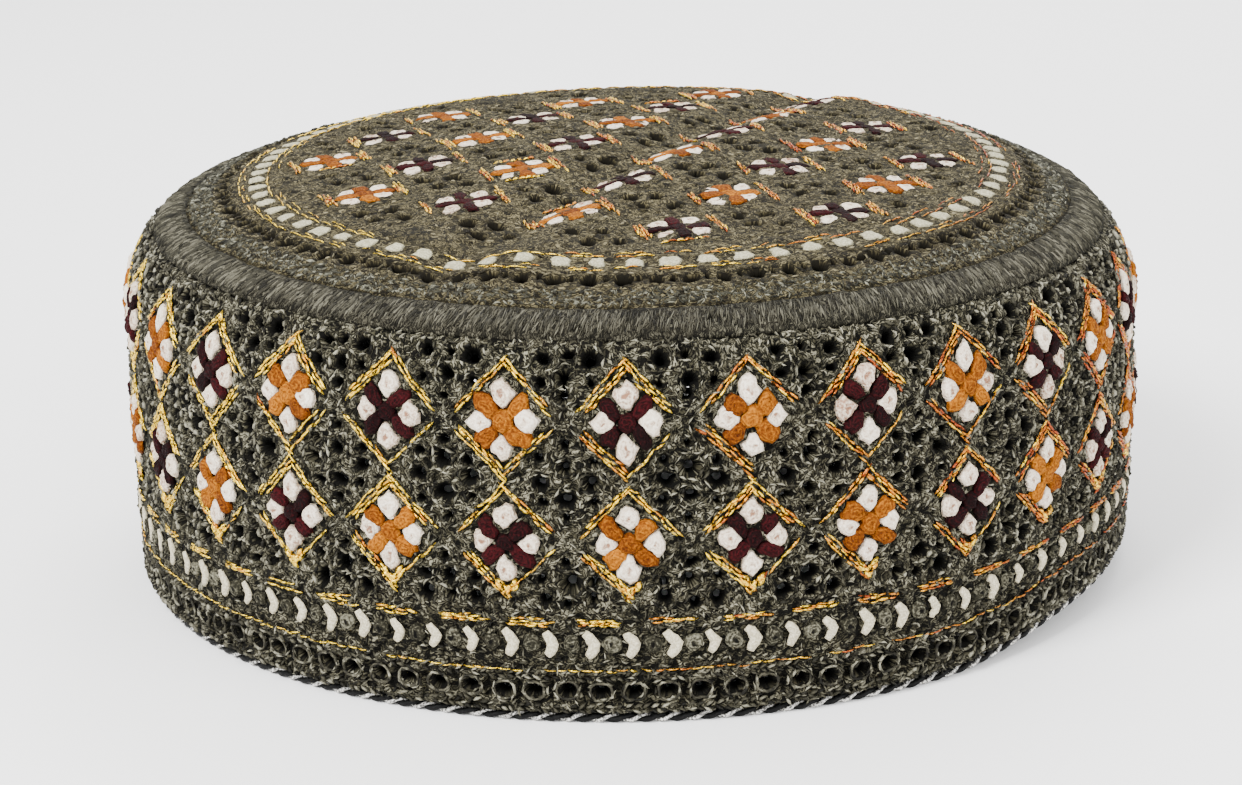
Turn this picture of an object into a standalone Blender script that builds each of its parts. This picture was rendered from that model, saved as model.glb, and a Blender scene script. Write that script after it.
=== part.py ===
"""Kufi cap: an oval pillbox cap of pierced, embroidered cloth, standing open side down.

Four sewn pieces share one shape.  A meridian table gives the share of the oval plan at each
height, from the rim up over the shoulder to the middle of the crown, and cap_point() turns a
place on that meridian into a point of the cloth.  -Y is the side that faces the camera, +X is
on the right of the photo and +Z is up.  Lengths are in metres.
"""

import bmesh
import bpy
import numpy as np
from mathutils import Vector

MM = 0.001

# Plan and height of the whole cap.
HALF_WIDTH = 95.0 * MM
HALF_DEPTH = 98.0 * MM
CROWN_TOP = 77.9 * MM
CLOTH = 2.0 * MM
SEWN_GAP = 0.3 * MM

# Edging cord round the rim.
CORD_ACROSS = 1.7 * MM
CORD_SIDES = 8
CORD_COLUMNS = 90

# Side band: a row of eyelets near the hem.
EYELETS = 108
EYELET_WIDE = 2.8 * MM
EYELET_TALL = 3.2 * MM
EYELET_UP = 6.2 * MM
EYELET_ROW_TALL = 4.4 * MM
BAND_STATIONS = (0.0, 0.24, 0.50, 0.74, 0.89, 1.0)

# Seam band over the shoulder, between the side band and the crown.
SEAM_LOW_SHARE = 0.948
SEAM_HIGH_SHARE = 0.884
SEAM_PROUD = 0.5 * MM
SEAM_COLUMNS = 88
SEAM_ROWS = 3

# Crown disc.
CROWN_COLUMNS = 66
CROWN_ROWS = 9

# Soft set of the cloth, as the photo shows it.
RIM_TUCK_LEFT = -0.013
RIM_TUCK_RIGHT = -0.008
RIM_TUCK_TOP = 24.0 * MM
RIM_LIFT = 3.4 * MM
RIM_LIFT_ANGLE = -5.0
RIM_LIFT_EDGE = 0.65
RIM_LIFT_FULL = 0.92
RIM_LIFT_FADE = 8.0 * MM
RIM_LIFT_TOP = 30.0 * MM
CROWN_TILT = 0.030
SHOULDER_TILT = 0.019
TILT_START = 24.0 * MM
TILT_FULL = 56.0 * MM
SHOULDER_DROP_RIGHT = 1.7 * MM
SHOULDER_DROP_LEFT = -0.5 * MM
FLAT_SHARE = 0.740

# Fold across the crown: a shallow valley with a low ridge on its right.
FOLD_ANGLE = 64.0
FOLD_OFFSET = 5.0 * MM
FOLD_DEPTH = 1.8 * MM
FOLD_RIDGE = 0.7 * MM
FOLD_WIDTH = 5.0 * MM

# Share of the plan and share of the crown height along the meridian, from the rim inward.
MERIDIAN = (
    (0.990, 0.000),
    (1.000, 0.128),
    (1.006, 0.282),
    (1.008, 0.436),
    (1.006, 0.590),
    (1.000, 0.719),
    (0.987, 0.780),
    (0.966, 0.828),
    (0.940, 0.864),
    (0.900, 0.891),
    (0.850, 0.912),
    (0.800, 0.932),
    (0.740, 0.949),
    (0.600, 0.962),
    (0.450, 0.975),
    (0.250, 0.991),
    (0.000, 1.000),
)

COLOURS = {
    "crown": (0.130, 0.125, 0.095, 1.0),
    "seam_band": (0.170, 0.170, 0.135, 1.0),
    "side_band": (0.095, 0.095, 0.078, 1.0),
    "edging_cord": (0.020, 0.018, 0.018, 1.0),
}


def smooth_meridian():
    """Meridian drawn as a smooth curve: distance from the rim, share and height, closely spaced."""
    table = np.array(MERIDIAN)
    mean_half = 0.5 * (HALF_WIDTH + HALF_DEPTH)
    points = table * (mean_half, CROWN_TOP)
    chord = np.concatenate(([0.0], np.cumsum(np.linalg.norm(np.diff(points, axis=0), axis=1))))
    slope = np.gradient(points, chord, axis=0)
    slope[-1] = (-1.0, 0.0)
    fine = np.linspace(0.0, chord[-1], 801)
    span = np.clip(np.searchsorted(chord, fine, side="right") - 1, 0, len(chord) - 2)
    length = (chord[span + 1] - chord[span])[:, None]
    part = (fine - chord[span])[:, None] / length
    curve = ((2.0 * part ** 3 - 3.0 * part ** 2 + 1.0) * points[span]
             + (part ** 3 - 2.0 * part ** 2 + part) * length * slope[span]
             + (3.0 * part ** 2 - 2.0 * part ** 3) * points[span + 1]
             + (part ** 3 - part ** 2) * length * slope[span + 1])
    along = np.concatenate(([0.0], np.cumsum(np.linalg.norm(np.diff(curve, axis=0), axis=1))))
    return along, curve[:, 0] / mean_half, curve[:, 1]


ALONG, SHARES, HEIGHTS = smooth_meridian()


def along_at_share(share):
    """Distance along the meridian at which the shoulder has closed in to this share."""
    top = int(np.argmax(SHARES))
    return float(np.interp(-share, -SHARES[top:], ALONG[top:]))


def along_at_height(height):
    """Distance along the meridian at which the wall has risen to this height."""
    return float(np.interp(height, HEIGHTS, ALONG))


def smooth_step(value, low, high):
    """Smooth rise from 0 at low to 1 at high."""
    part = np.clip((value - low) / (high - low), 0.0, 1.0)
    return part ** 2 * (3.0 - 2.0 * part)


def rim_lift(height, angle):
    """Rise of the hem on the right, where the photo shows it clear of the ground."""
    beside = np.cos(angle - np.radians(RIM_LIFT_ANGLE))
    near = smooth_step(beside, RIM_LIFT_EDGE, RIM_LIFT_FULL)
    return RIM_LIFT * near * (1.0 - smooth_step(height, RIM_LIFT_FADE, RIM_LIFT_TOP))


def fold_lift(x, y, share):
    """Rise of the crown beside the fold and fall in it, fading out toward the shoulder."""
    angle = np.radians(FOLD_ANGLE)
    across = x * np.sin(angle) - y * np.cos(angle) - FOLD_OFFSET
    valley = -FOLD_DEPTH * np.exp(-(across / FOLD_WIDTH) ** 2)
    ridge = FOLD_RIDGE * np.exp(-((across - 2.4 * FOLD_WIDTH) / FOLD_WIDTH) ** 2)
    fade = np.clip((SEAM_HIGH_SHARE - share) / (SEAM_HIGH_SHARE - FLAT_SHARE), 0.0, 1.0)
    return (valley + ridge) * fade


def outer_point(along, angle):
    """Point of the outer face at a distance along the meridian and an angle from +X."""
    share = np.interp(along, ALONG, SHARES)
    height = np.interp(along, ALONG, HEIGHTS)
    side = np.cos(angle) ** 2
    right = np.cos(angle) > 0.0
    tuck = RIM_TUCK_RIGHT if right else RIM_TUCK_LEFT
    share -= tuck * side * max(0.0, 1.0 - height / RIM_TUCK_TOP)
    x = HALF_WIDTH * share * np.cos(angle)
    y = HALF_DEPTH * share * np.sin(angle)
    shoulder = np.clip((share - FLAT_SHARE) / (1.0 - FLAT_SHARE), 0.0, 1.0)
    tilt = CROWN_TILT + (SHOULDER_TILT - CROWN_TILT) * shoulder
    drop = SHOULDER_DROP_RIGHT if right else SHOULDER_DROP_LEFT
    rise = np.clip((height - TILT_START) / (TILT_FULL - TILT_START), 0.0, 1.0)
    z = height + rise * (tilt * y - drop * side * shoulder) + fold_lift(x, y, share)
    z += rim_lift(height, angle)
    return Vector((x, y, z))


def cap_point(along, angle, depth):
    """Point of the cloth at a depth below the outer face, measured square to that face."""
    here = outer_point(along, angle)
    if along > ALONG[-1] - 0.5 * MM:
        return here - Vector((0.0, 0.0, depth))
    upward = outer_point(along + 0.5 * MM, angle) - outer_point(along - 0.5 * MM, angle)
    around = outer_point(along, angle + 0.02) - outer_point(along, angle - 0.02)
    return here - around.cross(upward).normalized() * depth


class Sheet:
    """A cloth sheet that follows the cap: an outer skin, an inner skin and closed edges."""

    def __init__(self, top, bottom):
        self.bm = bmesh.new()
        self.top = top
        self.bottom = bottom
        self.place = {}

    def vert(self, along, angle):
        """Add one vertex of the outer skin and remember where it lies on the cap."""
        vert = self.bm.verts.new(cap_point(along, angle, self.top))
        self.place[vert] = (along, angle)
        return vert

    def ring(self, along, count):
        """Add evenly spaced vertices round the cap at one distance along the meridian."""
        return [self.vert(along, 2.0 * np.pi * index / count) for index in range(count)]

    def join(self, lower, upper):
        """Fill between two rings with quads that face outward."""
        count = len(lower)
        for index in range(count):
            following = (index + 1) % count
            self.bm.faces.new((lower[index], lower[following], upper[following], upper[index]))

    def fill(self, stations, count):
        """Add rings at the stations and join each to the one before it."""
        rings = [self.ring(along, count) for along in stations]
        for lower, upper in zip(rings, rings[1:]):
            self.join(lower, upper)
        return rings

    def finish(self, name):
        """Add the inner skin, close the open edges and return the named object."""
        outer_faces = self.bm.faces[:]
        open_edges = [edge for edge in self.bm.edges if len(edge.link_faces) == 1]
        inner = {}
        for vert, (along, angle) in self.place.items():
            inner[vert] = self.bm.verts.new(cap_point(along, angle, self.bottom))
        for face in outer_faces:
            self.bm.faces.new([inner[vert] for vert in reversed(face.verts)])
        for edge in open_edges:
            start, end = edge.verts
            self.bm.faces.new((start, end, inner[end], inner[start]))
        return object_from(name, self.bm)


def material_for(name):
    """A plain cloth material in the piece's own colour."""
    material = bpy.data.materials.new(name)
    material.use_nodes = True
    shader = material.node_tree.nodes["Principled BSDF"]
    shader.inputs["Base Color"].default_value = COLOURS[name]
    shader.inputs["Roughness"].default_value = 0.85
    return material


def object_from(name, bm):
    """Turn a bmesh into a named object with its material."""
    bmesh.ops.recalc_face_normals(bm, faces=bm.faces[:])
    mesh = bpy.data.meshes.new(name)
    bm.to_mesh(mesh)
    bm.free()
    mesh.materials.append(material_for(name))
    item = bpy.data.objects.new(name, mesh)
    bpy.context.scene.collection.objects.link(item)
    return item


def eyelet_row(sheet, lower, upper, low, high):
    """Fill between two rings with quads that are each pierced by a six-sided eyelet."""
    step = 2.0 * np.pi / EYELETS
    middle = 0.5 * (low + high)
    half_angle = EYELET_WIDE / (HALF_WIDTH + HALF_DEPTH)
    for index in range(EYELETS):
        following = (index + 1) % EYELETS
        hole = []
        for corner in range(6):
            turn = np.radians(60.0 * corner)
            hole.append(sheet.vert(middle + 0.5 * EYELET_TALL * np.sin(turn),
                                   (index + 0.5) * step + half_angle * np.cos(turn)))
        low_left, low_right = lower[index], lower[following]
        high_left, high_right = upper[index], upper[following]
        sheet.bm.faces.new((low_left, low_right, hole[5], hole[4]))
        sheet.bm.faces.new((low_right, high_right, hole[1], hole[0], hole[5]))
        sheet.bm.faces.new((high_right, high_left, hole[2], hole[1]))
        sheet.bm.faces.new((high_left, low_left, hole[4], hole[3], hole[2]))


def side_band():
    """Upright band of pierced cloth, from the edging cord to the seam band."""
    sheet = Sheet(0.0, CLOTH)
    bottom = along_at_height(CORD_ACROSS + SEWN_GAP)
    top = along_at_share(SEAM_LOW_SHARE) - 0.5 * SEWN_GAP
    row_low = EYELET_UP - 0.5 * EYELET_ROW_TALL
    row_high = EYELET_UP + 0.5 * EYELET_ROW_TALL
    hem = sheet.fill((bottom, row_low), EYELETS)
    wall = sheet.fill(row_high + (top - row_high) * np.array(BAND_STATIONS), EYELETS)
    eyelet_row(sheet, hem[-1], wall[0], row_low, row_high)
    return sheet.finish("side_band")


def seam_band():
    """Stitched band over the shoulder that joins the crown to the side band."""
    sheet = Sheet(-SEAM_PROUD, CLOTH)
    low = along_at_share(SEAM_LOW_SHARE) + 0.5 * SEWN_GAP
    high = along_at_share(SEAM_HIGH_SHARE) - 0.5 * SEWN_GAP
    sheet.fill(np.linspace(low, high, SEAM_ROWS + 1), SEAM_COLUMNS)
    return sheet.finish("seam_band")


def crown():
    """Embroidered disc that closes the top, with the fold across it."""
    sheet = Sheet(0.0, CLOTH)
    edge = along_at_share(SEAM_HIGH_SHARE) + 0.5 * SEWN_GAP
    middle = ALONG[-1]
    rings = sheet.fill(edge + (middle - edge) * np.linspace(0.0, 0.92, CROWN_ROWS), CROWN_COLUMNS)
    centre = sheet.vert(middle, 0.0)
    last = rings[-1]
    for index, vert in enumerate(last):
        sheet.bm.faces.new((vert, last[(index + 1) % CROWN_COLUMNS], centre))
    return sheet.finish("crown")


def edging_cord():
    """Cord sewn round the rim, with a flat underside that the cap stands on."""
    bm = bmesh.new()
    apothem = 0.5 * CORD_ACROSS
    corner = apothem / np.cos(np.pi / CORD_SIDES)
    rings = []
    for angle in np.arange(CORD_COLUMNS) * 2.0 * np.pi / CORD_COLUMNS:
        rim = cap_point(along_at_height(apothem), angle, 0.5 * CLOTH)
        outward = Vector((rim.x / HALF_WIDTH ** 2, rim.y / HALF_DEPTH ** 2, 0.0)).normalized()
        centre = Vector((rim.x, rim.y, apothem + rim_lift(0.0, angle)))
        ring = []
        for side in range(CORD_SIDES):
            turn = np.pi * (2.0 * side + 1.0) / CORD_SIDES
            drop = Vector((0.0, 0.0, corner * np.cos(turn)))
            ring.append(bm.verts.new(centre + outward * (corner * np.sin(turn)) - drop))
        rings.append(ring)
    for index, ring in enumerate(rings):
        following = rings[(index + 1) % CORD_COLUMNS]
        for side in range(CORD_SIDES):
            beside = (side + 1) % CORD_SIDES
            bm.faces.new((ring[side], ring[beside], following[beside], following[side]))
    return object_from("edging_cord", bm)


def clear_scene():
    """Remove what the start file holds."""
    for item in list(bpy.data.objects):
        bpy.data.objects.remove(item, do_unlink=True)


clear_scene()
crown()
seam_band()
side_band()
edging_cord()
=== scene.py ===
"""Kufi cap: pierced cloth, net stitches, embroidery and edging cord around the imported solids.

-Y is the side that faces the camera, +X is on the right and +Z is up.  Lengths are in metres.
Every surface is laid on CapForm, which repeats the shape that the solids have.
"""

import logging
from dataclasses import dataclass, field
from enum import Enum
from functools import cached_property
from itertools import product

import bpy
import numpy as np
from mathutils import Matrix, Vector


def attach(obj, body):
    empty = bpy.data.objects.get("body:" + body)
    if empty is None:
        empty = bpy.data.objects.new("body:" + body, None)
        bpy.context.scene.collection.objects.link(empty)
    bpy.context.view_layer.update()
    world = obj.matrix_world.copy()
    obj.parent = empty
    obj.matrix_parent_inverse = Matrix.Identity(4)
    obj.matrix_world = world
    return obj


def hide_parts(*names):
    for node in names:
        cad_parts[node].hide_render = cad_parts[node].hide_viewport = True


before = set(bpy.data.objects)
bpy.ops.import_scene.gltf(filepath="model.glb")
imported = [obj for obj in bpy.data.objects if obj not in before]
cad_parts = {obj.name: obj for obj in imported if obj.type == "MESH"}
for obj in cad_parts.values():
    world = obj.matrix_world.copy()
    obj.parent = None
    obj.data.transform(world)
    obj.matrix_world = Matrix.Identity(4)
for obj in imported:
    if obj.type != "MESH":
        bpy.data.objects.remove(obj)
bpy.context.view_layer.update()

MM = 0.001
FULL_TURN = 2.0 * np.pi
QUARTER = 0.5 * np.pi
ON_EDGE = 0.01 * MM
LOG = logging.getLogger("kufi_cap")
Array = np.ndarray
Colour = tuple[float, float, float]


def unit(vectors: Array) -> Array:
    """Vectors divided by their length."""
    return vectors / np.maximum(np.linalg.norm(vectors, axis=-1, keepdims=True), 1e-12)


def hill(distance: Array, width: float) -> Array:
    """Bell curve: 1 at no distance, falling to 0.37 at one width."""
    return np.exp(-(distance / width) ** 2)


def smooth_step(value: Array | float, low: float, high: float) -> Array:
    """Smooth rise from 0 at low to 1 at high."""
    part = np.clip((value - low) / (high - low), 0.0, 1.0)
    return part ** 2 * (3.0 - 2.0 * part)


def nearest(value: Array, step: float) -> Array:
    """Signed distance to the nearest whole number of steps."""
    return (value + 0.5 * step) % step - 0.5 * step


def turned(x: Array, y: Array, turn: Array) -> Array:
    """Pairs made of x and y, turned by one angle for each row."""
    cosine, sine = np.cos(turn)[:, None], np.sin(turn)[:, None]
    return np.stack((x * cosine - y * sine, x * sine + y * cosine), axis=-1)


def edge_lip(gap: Array) -> Array:
    """Rolled lip beside a hole: nothing at the edge, highest just past it, then fading."""
    part = np.clip(gap, 0.0, None) / (0.55 * MM)
    return part * np.exp(1.0 - part)


def ripple(points: Array, length: float, count: int, seed: int) -> Array:
    """Smooth noise of about unit size, as a sum of plane waves with seeded directions.

    Args:
        points: Places in space, one row each.
        length: Typical wave length.
        count: Number of waves.
        seed: Seed of the directions and phases.

    Returns:
        One value for each row.
    """
    rng = np.random.default_rng(seed)
    waves = unit(rng.normal(size=(count, points.shape[-1])))
    waves = waves * (FULL_TURN / (length * rng.uniform(0.6, 1.5, (count, 1))))
    phase = rng.uniform(0.0, FULL_TURN, count)
    return np.sin(points @ waves.T + phase).sum(axis=-1) * np.sqrt(2.0 / count)


@dataclass(frozen=True)
class Pits:
    """Small soft hollows all over a cloth, between the curls of its thread."""

    size: float
    seed: int
    waves: int = 26
    step: float = 0.1 * MM

    def noise(self, place: Array) -> Array:
        """Smooth noise whose hills are the hollows."""
        return ripple(place, self.size, self.waves, self.seed)

    def depth(self, place: Array) -> Array:
        """How deep in a hollow each flat place lies: 0 outside and about 1 in the middle."""
        return np.clip(self.noise(place) * 0.9, 0.0, 1.3)

    def around(self, place: Array) -> Array:
        """Direction round the nearest hollow, square to the slope of the noise."""
        slope = [self.noise(place + shift) - self.noise(place - shift)
                 for shift in (np.array((self.step, 0.0)), np.array((0.0, self.step)))]
        return np.arctan2(slope[1], slope[0]) + QUARTER


@dataclass(frozen=True)
class CapForm:
    """Shape of the cap, from one meridian table, as the solids have it.

    A table row gives the share of the oval plan and the share of the crown height.  Angles are
    in degrees from +X.  Distance along the meridian runs from the rim to the middle of the crown.
    """

    half_width: float = 95.0 * MM
    half_depth: float = 98.0 * MM
    crown_top: float = 77.9 * MM
    tuck_left: float = -0.013
    tuck_right: float = -0.008
    tuck_top: float = 24.0 * MM
    lift: float = 3.4 * MM
    lift_angle: float = -5.0
    lift_edge: float = 0.65
    lift_full: float = 0.92
    lift_fade: float = 8.0 * MM
    lift_top: float = 30.0 * MM
    crown_tilt: float = 0.030
    shoulder_tilt: float = 0.019
    tilt_start: float = 24.0 * MM
    tilt_full: float = 56.0 * MM
    drop_right: float = 1.7 * MM
    drop_left: float = -0.5 * MM
    flat_share: float = 0.740
    seam_low_share: float = 0.948
    seam_high_share: float = 0.884
    fold_angle: float = 64.0
    fold_offset: float = 5.0 * MM
    fold_depth: float = 1.8 * MM
    fold_ridge: float = 0.7 * MM
    fold_width: float = 5.0 * MM
    ridge_off: float = 2.4
    meridian: tuple[tuple[float, float], ...] = (
        (0.990, 0.000),
        (1.000, 0.128),
        (1.006, 0.282),
        (1.008, 0.436),
        (1.006, 0.590),
        (1.000, 0.719),
        (0.987, 0.780),
        (0.966, 0.828),
        (0.940, 0.864),
        (0.900, 0.891),
        (0.850, 0.912),
        (0.800, 0.932),
        (0.740, 0.949),
        (0.600, 0.962),
        (0.450, 0.975),
        (0.250, 0.991),
        (0.000, 1.000),
    )

    @property
    def mean_half(self) -> float:
        """Mean half size of the plan."""
        return 0.5 * (self.half_width + self.half_depth)

    @cached_property
    def curve(self) -> tuple[Array, Array, Array]:
        """Meridian as a smooth curve through the table: distance from the rim, share and height.

        Each stretch is a cubic whose end slopes are the table's own mean slopes.
        """
        points = np.array(self.meridian) * (self.mean_half, self.crown_top)
        chord = np.concatenate(([0.0], np.cumsum(np.linalg.norm(np.diff(points, axis=0), axis=1))))
        slope = np.gradient(points, chord, axis=0)
        slope[-1] = (-1.0, 0.0)
        fine = np.linspace(0.0, chord[-1], 801)
        span = np.clip(np.searchsorted(chord, fine, side="right") - 1, 0, len(chord) - 2)
        length = (chord[span + 1] - chord[span])[:, None]
        part = (fine - chord[span])[:, None] / length
        curve = ((2.0 * part ** 3 - 3.0 * part ** 2 + 1.0) * points[span]
                 + (part ** 3 - 2.0 * part ** 2 + part) * length * slope[span]
                 + (3.0 * part ** 2 - 2.0 * part ** 3) * points[span + 1]
                 + (part ** 3 - part ** 2) * length * slope[span + 1])
        steps = np.linalg.norm(np.diff(curve, axis=0), axis=1)
        along = np.concatenate(([0.0], np.cumsum(steps)))
        return along, curve[:, 0] / self.mean_half, curve[:, 1]

    def along_at(self, share: Array | float) -> Array:
        """Distance along the meridian at which the shoulder has closed in to this share."""
        along, shares, _ = self.curve
        return np.interp(-np.asarray(share), -shares[self.widest:], along[self.widest:])

    @cached_property
    def widest(self) -> int:
        """Number of the curve's widest point, past which its share only falls."""
        return int(np.argmax(self.curve[1]))

    def share_at(self, along: Array) -> Array:
        """Share of the plan at a distance along the meridian."""
        return np.interp(along, self.curve[0], self.curve[1])

    def rim_lift(self, height: Array | float, angle: Array) -> Array:
        """Rise of the hem on the right, where the photo shows it clear of the ground."""
        near = smooth_step(np.cos(angle - np.radians(self.lift_angle)), self.lift_edge, self.lift_full)
        return self.lift * near * (1.0 - smooth_step(height, self.lift_fade, self.lift_top))

    def raised(self, share: Array, height: Array, cosine: Array, x: Array, y: Array) -> Array:
        """Height with the tilt, the uneven shoulder and the fold across the crown added.

        Args:
            share: Share of the plan.
            height: Height on the even meridian.
            cosine: Cosine of the plan angle from +X.
            x: Place to the right.
            y: Place to the back.

        Returns:
            Heights above the surface that the cap stands on.
        """
        side = cosine ** 2
        shoulder = np.clip((share - self.flat_share) / (1.0 - self.flat_share), 0.0, 1.0)
        tilt = self.crown_tilt + (self.shoulder_tilt - self.crown_tilt) * shoulder
        drop = np.where(cosine > 0.0, self.drop_right, self.drop_left)
        rise = np.clip((height - self.tilt_start) / (self.tilt_full - self.tilt_start), 0.0, 1.0)
        turn = np.radians(self.fold_angle)
        across = x * np.sin(turn) - y * np.cos(turn) - self.fold_offset
        valley = -self.fold_depth * hill(across, self.fold_width)
        ridge = self.fold_ridge * hill(across - self.ridge_off * self.fold_width, self.fold_width)
        fade = (self.seam_high_share - share) / (self.seam_high_share - self.flat_share)
        fold = (valley + ridge) * np.clip(fade, 0.0, 1.0)
        return height + rise * (tilt * y - drop * side * shoulder) + fold

    def at_angle(self, along: Array, angle: Array) -> Array:
        """Points of the outer face at distances along the meridian and angles from +X."""
        share = self.share_at(along)
        height = np.interp(along, self.curve[0], self.curve[2])
        cosine = np.cos(angle)
        tuck = np.where(cosine > 0.0, self.tuck_right, self.tuck_left)
        share = share - tuck * cosine ** 2 * np.maximum(0.0, 1.0 - height / self.tuck_top)
        x = self.half_width * share * cosine
        y = self.half_depth * share * np.sin(angle)
        z = self.raised(share, height, cosine, x, y) + self.rim_lift(height, angle)
        return np.stack((x, y, z), axis=-1)

    def at_plan(self, x: Array, y: Array) -> Array:
        """Points of the outer face above places in plan, valid inside the shoulder."""
        _, shares, heights = self.curve
        share = np.hypot(x / self.half_width, y / self.half_depth)
        height = np.interp(-share, -shares[self.widest:], heights[self.widest:])
        cosine = x / self.half_width / np.maximum(share, 1e-9)
        return np.stack((x, y, self.raised(share, height, cosine, x, y)), axis=-1)


FORM = CapForm()


class Patch:
    """A stretch of the cap with flat coordinates of its own."""

    step = 0.25 * MM

    def face(self, place: Array) -> Array:
        """Points of the outer face at flat places."""
        raise NotImplementedError

    def stretch(self, place: Array) -> Array:
        """True length of one unit of the first coordinate at flat places."""
        return np.ones(place.shape[:-1])

    def normal(self, place: Array) -> Array:
        """Outward directions at flat places, from small steps along both coordinates."""
        first, second = np.array((self.step, 0.0)), np.array((0.0, self.step))
        across = self.face(place + first) - self.face(place - first)
        upward = self.face(place + second) - self.face(place - second)
        return unit(np.cross(across, upward))

    def lay(self, place: Array, lift: Array | float) -> Array:
        """Points that stand a lift proud of the outer face at flat places."""
        return self.face(place) + self.normal(place) * np.asarray(lift)[..., None]


class RoundPatch(Patch):
    """Wall and shoulder: distance round from the front, then distance along the meridian."""

    girth = FULL_TURN * FORM.mean_half

    def face(self, place: Array) -> Array:
        """Points of the outer face at flat places."""
        angle = place[..., 0] / FORM.mean_half - QUARTER
        return FORM.at_angle(place[..., 1], angle)

    def stretch(self, place: Array) -> Array:
        """True length of one unit round the cap, which is the share of the plan."""
        return FORM.share_at(place[..., 1])

    def evenly(self, count: int) -> Array:
        """Places at equal steps all the way round, from the back."""
        return (np.arange(count) / count - 0.5) * self.girth

    @staticmethod
    def numbered(count: int, step: float, first: float, shift: float = 0.0) -> Array:
        """Places at equal steps, numbered so that number 0 lies first from the front."""
        return (np.arange(count) + shift - count // 2) * step + first


class FlatPatch(Patch):
    """Crown: place to the right, then place to the back, as seen from above."""

    def face(self, place: Array) -> Array:
        """Points of the outer face at flat places."""
        return FORM.at_plan(place[..., 0], place[..., 1])

    @staticmethod
    def share(place: Array) -> Array:
        """Share of the plan at flat places."""
        return np.hypot(place[..., 0] / FORM.half_width, place[..., 1] / FORM.half_depth)

    @staticmethod
    def radial(bearing: Array) -> Array:
        """Places on the full oval plan at bearings from +X."""
        return np.stack((FORM.half_width * np.cos(bearing), FORM.half_depth * np.sin(bearing)), axis=-1)


WALL = RoundPatch()
TOP = FlatPatch()


@dataclass
class Holes:
    """Holes of a pierced cloth: wobbly ovals on flat coordinates."""

    centre: Array
    half: Array
    turn: Array
    seed: int
    reach: float = 4.5 * MM
    narrowing: float = 0.42

    def __post_init__(self) -> None:
        """Draw the wobble of each oval."""
        self.wobble = np.random.default_rng(self.seed).uniform(0.0, FULL_TURN, len(self.centre))

    def wrapped(self, girth: float) -> "Holes":
        """The same holes with copies past both ends of a closed girth."""
        near = np.abs(self.centre[:, 0]) > 0.5 * girth - 2.0 * self.reach
        sign = -np.sign(self.centre[near, 0])
        copied = self.centre[near] + np.stack((sign * girth, np.zeros(near.sum())), axis=-1)
        more = Holes(np.concatenate((self.centre, copied)),
                     np.concatenate((self.half, self.half[near])),
                     np.concatenate((self.turn, self.turn[near])), self.seed, self.reach)
        more.wobble = np.concatenate((self.wobble, self.wobble[near]))
        return more

    def ratio(self, offset: Array, index: Array) -> Array:
        """Distance from a hole's centre as a share of its wobbly edge."""
        cosine, sine = np.cos(self.turn[index]), np.sin(self.turn[index])
        along = (offset[..., 0] * cosine + offset[..., 1] * sine) / self.half[index, 0]
        across = (offset[..., 1] * cosine - offset[..., 0] * sine) / self.half[index, 1]
        bearing = np.arctan2(across, along)
        wobble = self.wobble[index]
        edge = 1.0 + 0.09 * np.sin(2.0 * bearing + wobble)
        edge = edge + 0.06 * np.sin(3.0 * bearing + 2.0 * wobble)
        return np.hypot(along, across) / edge

    def gaps(self, place: Array) -> tuple[Array, Array]:
        """Distance past the edge of the nearest hole, and which hole that is.

        Args:
            place: Flat places, one row each.

        Returns:
            Distances, negative inside a hole, and indices, -1 where no hole is near.
        """
        order = np.argsort(place[:, 0])
        sorted_first = place[order, 0]
        gap = np.full(len(place), self.reach)
        which = np.full(len(place), -1)
        low = np.searchsorted(sorted_first, self.centre[:, 0] - self.reach)
        high = np.searchsorted(sorted_first, self.centre[:, 0] + self.reach)
        for index in range(len(self.centre)):
            rows = order[low[index]:high[index]]
            offset = place[rows] - self.centre[index]
            size = self.half[index].mean()
            distance = (self.ratio(offset, np.full(len(rows), index)) - 1.0) * size
            closer = distance < gap[rows]
            gap[rows[closer]] = distance[closer]
            which[rows[closer]] = index
        return gap, which

    def narrowed(self, place: Array, gap: Array, which: Array) -> Array:
        """Flat places with those on an edge drawn well in, so that holes narrow inwards."""
        on_edge = (np.abs(gap) < ON_EDGE) & (which >= 0)
        moved = place.copy()
        centre = self.centre[which[on_edge]]
        moved[on_edge] = centre + self.narrowing * (place[on_edge] - centre)
        return moved

    def to_edge(self, place: Array, which: Array) -> Array:
        """Flat places moved straight to the edge of their hole."""
        offset = place - self.centre[which]
        return self.centre[which] + offset / np.maximum(self.ratio(offset, which), 0.05)[:, None]

    def pierced(self, place: Array, quads: Array, middle: Array,
                fixed: Array | tuple = ()) -> tuple[Array, Array]:
        """Cut the holes out of a grid and draw the cut edges to the ovals.

        Args:
            place: Flat places of the grid.
            quads: Its faces.
            middle: Middle of each face.
            fixed: Numbers of places that stay where they are.

        Returns:
            The places that are left, and the faces renumbered.
        """
        cut = self.gaps(middle)[0] < 0.0
        rim = np.setdiff1d(np.intersect1d(quads[cut], quads[~cut]), fixed)
        _, which = self.gaps(place[rim])
        near = which >= 0
        place[rim[near]] = self.to_edge(place[rim[near]], which[near])
        kept, renumbered = np.unique(quads[~cut], return_inverse=True)
        return place[kept], renumbered.reshape(-1, 4)


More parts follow.
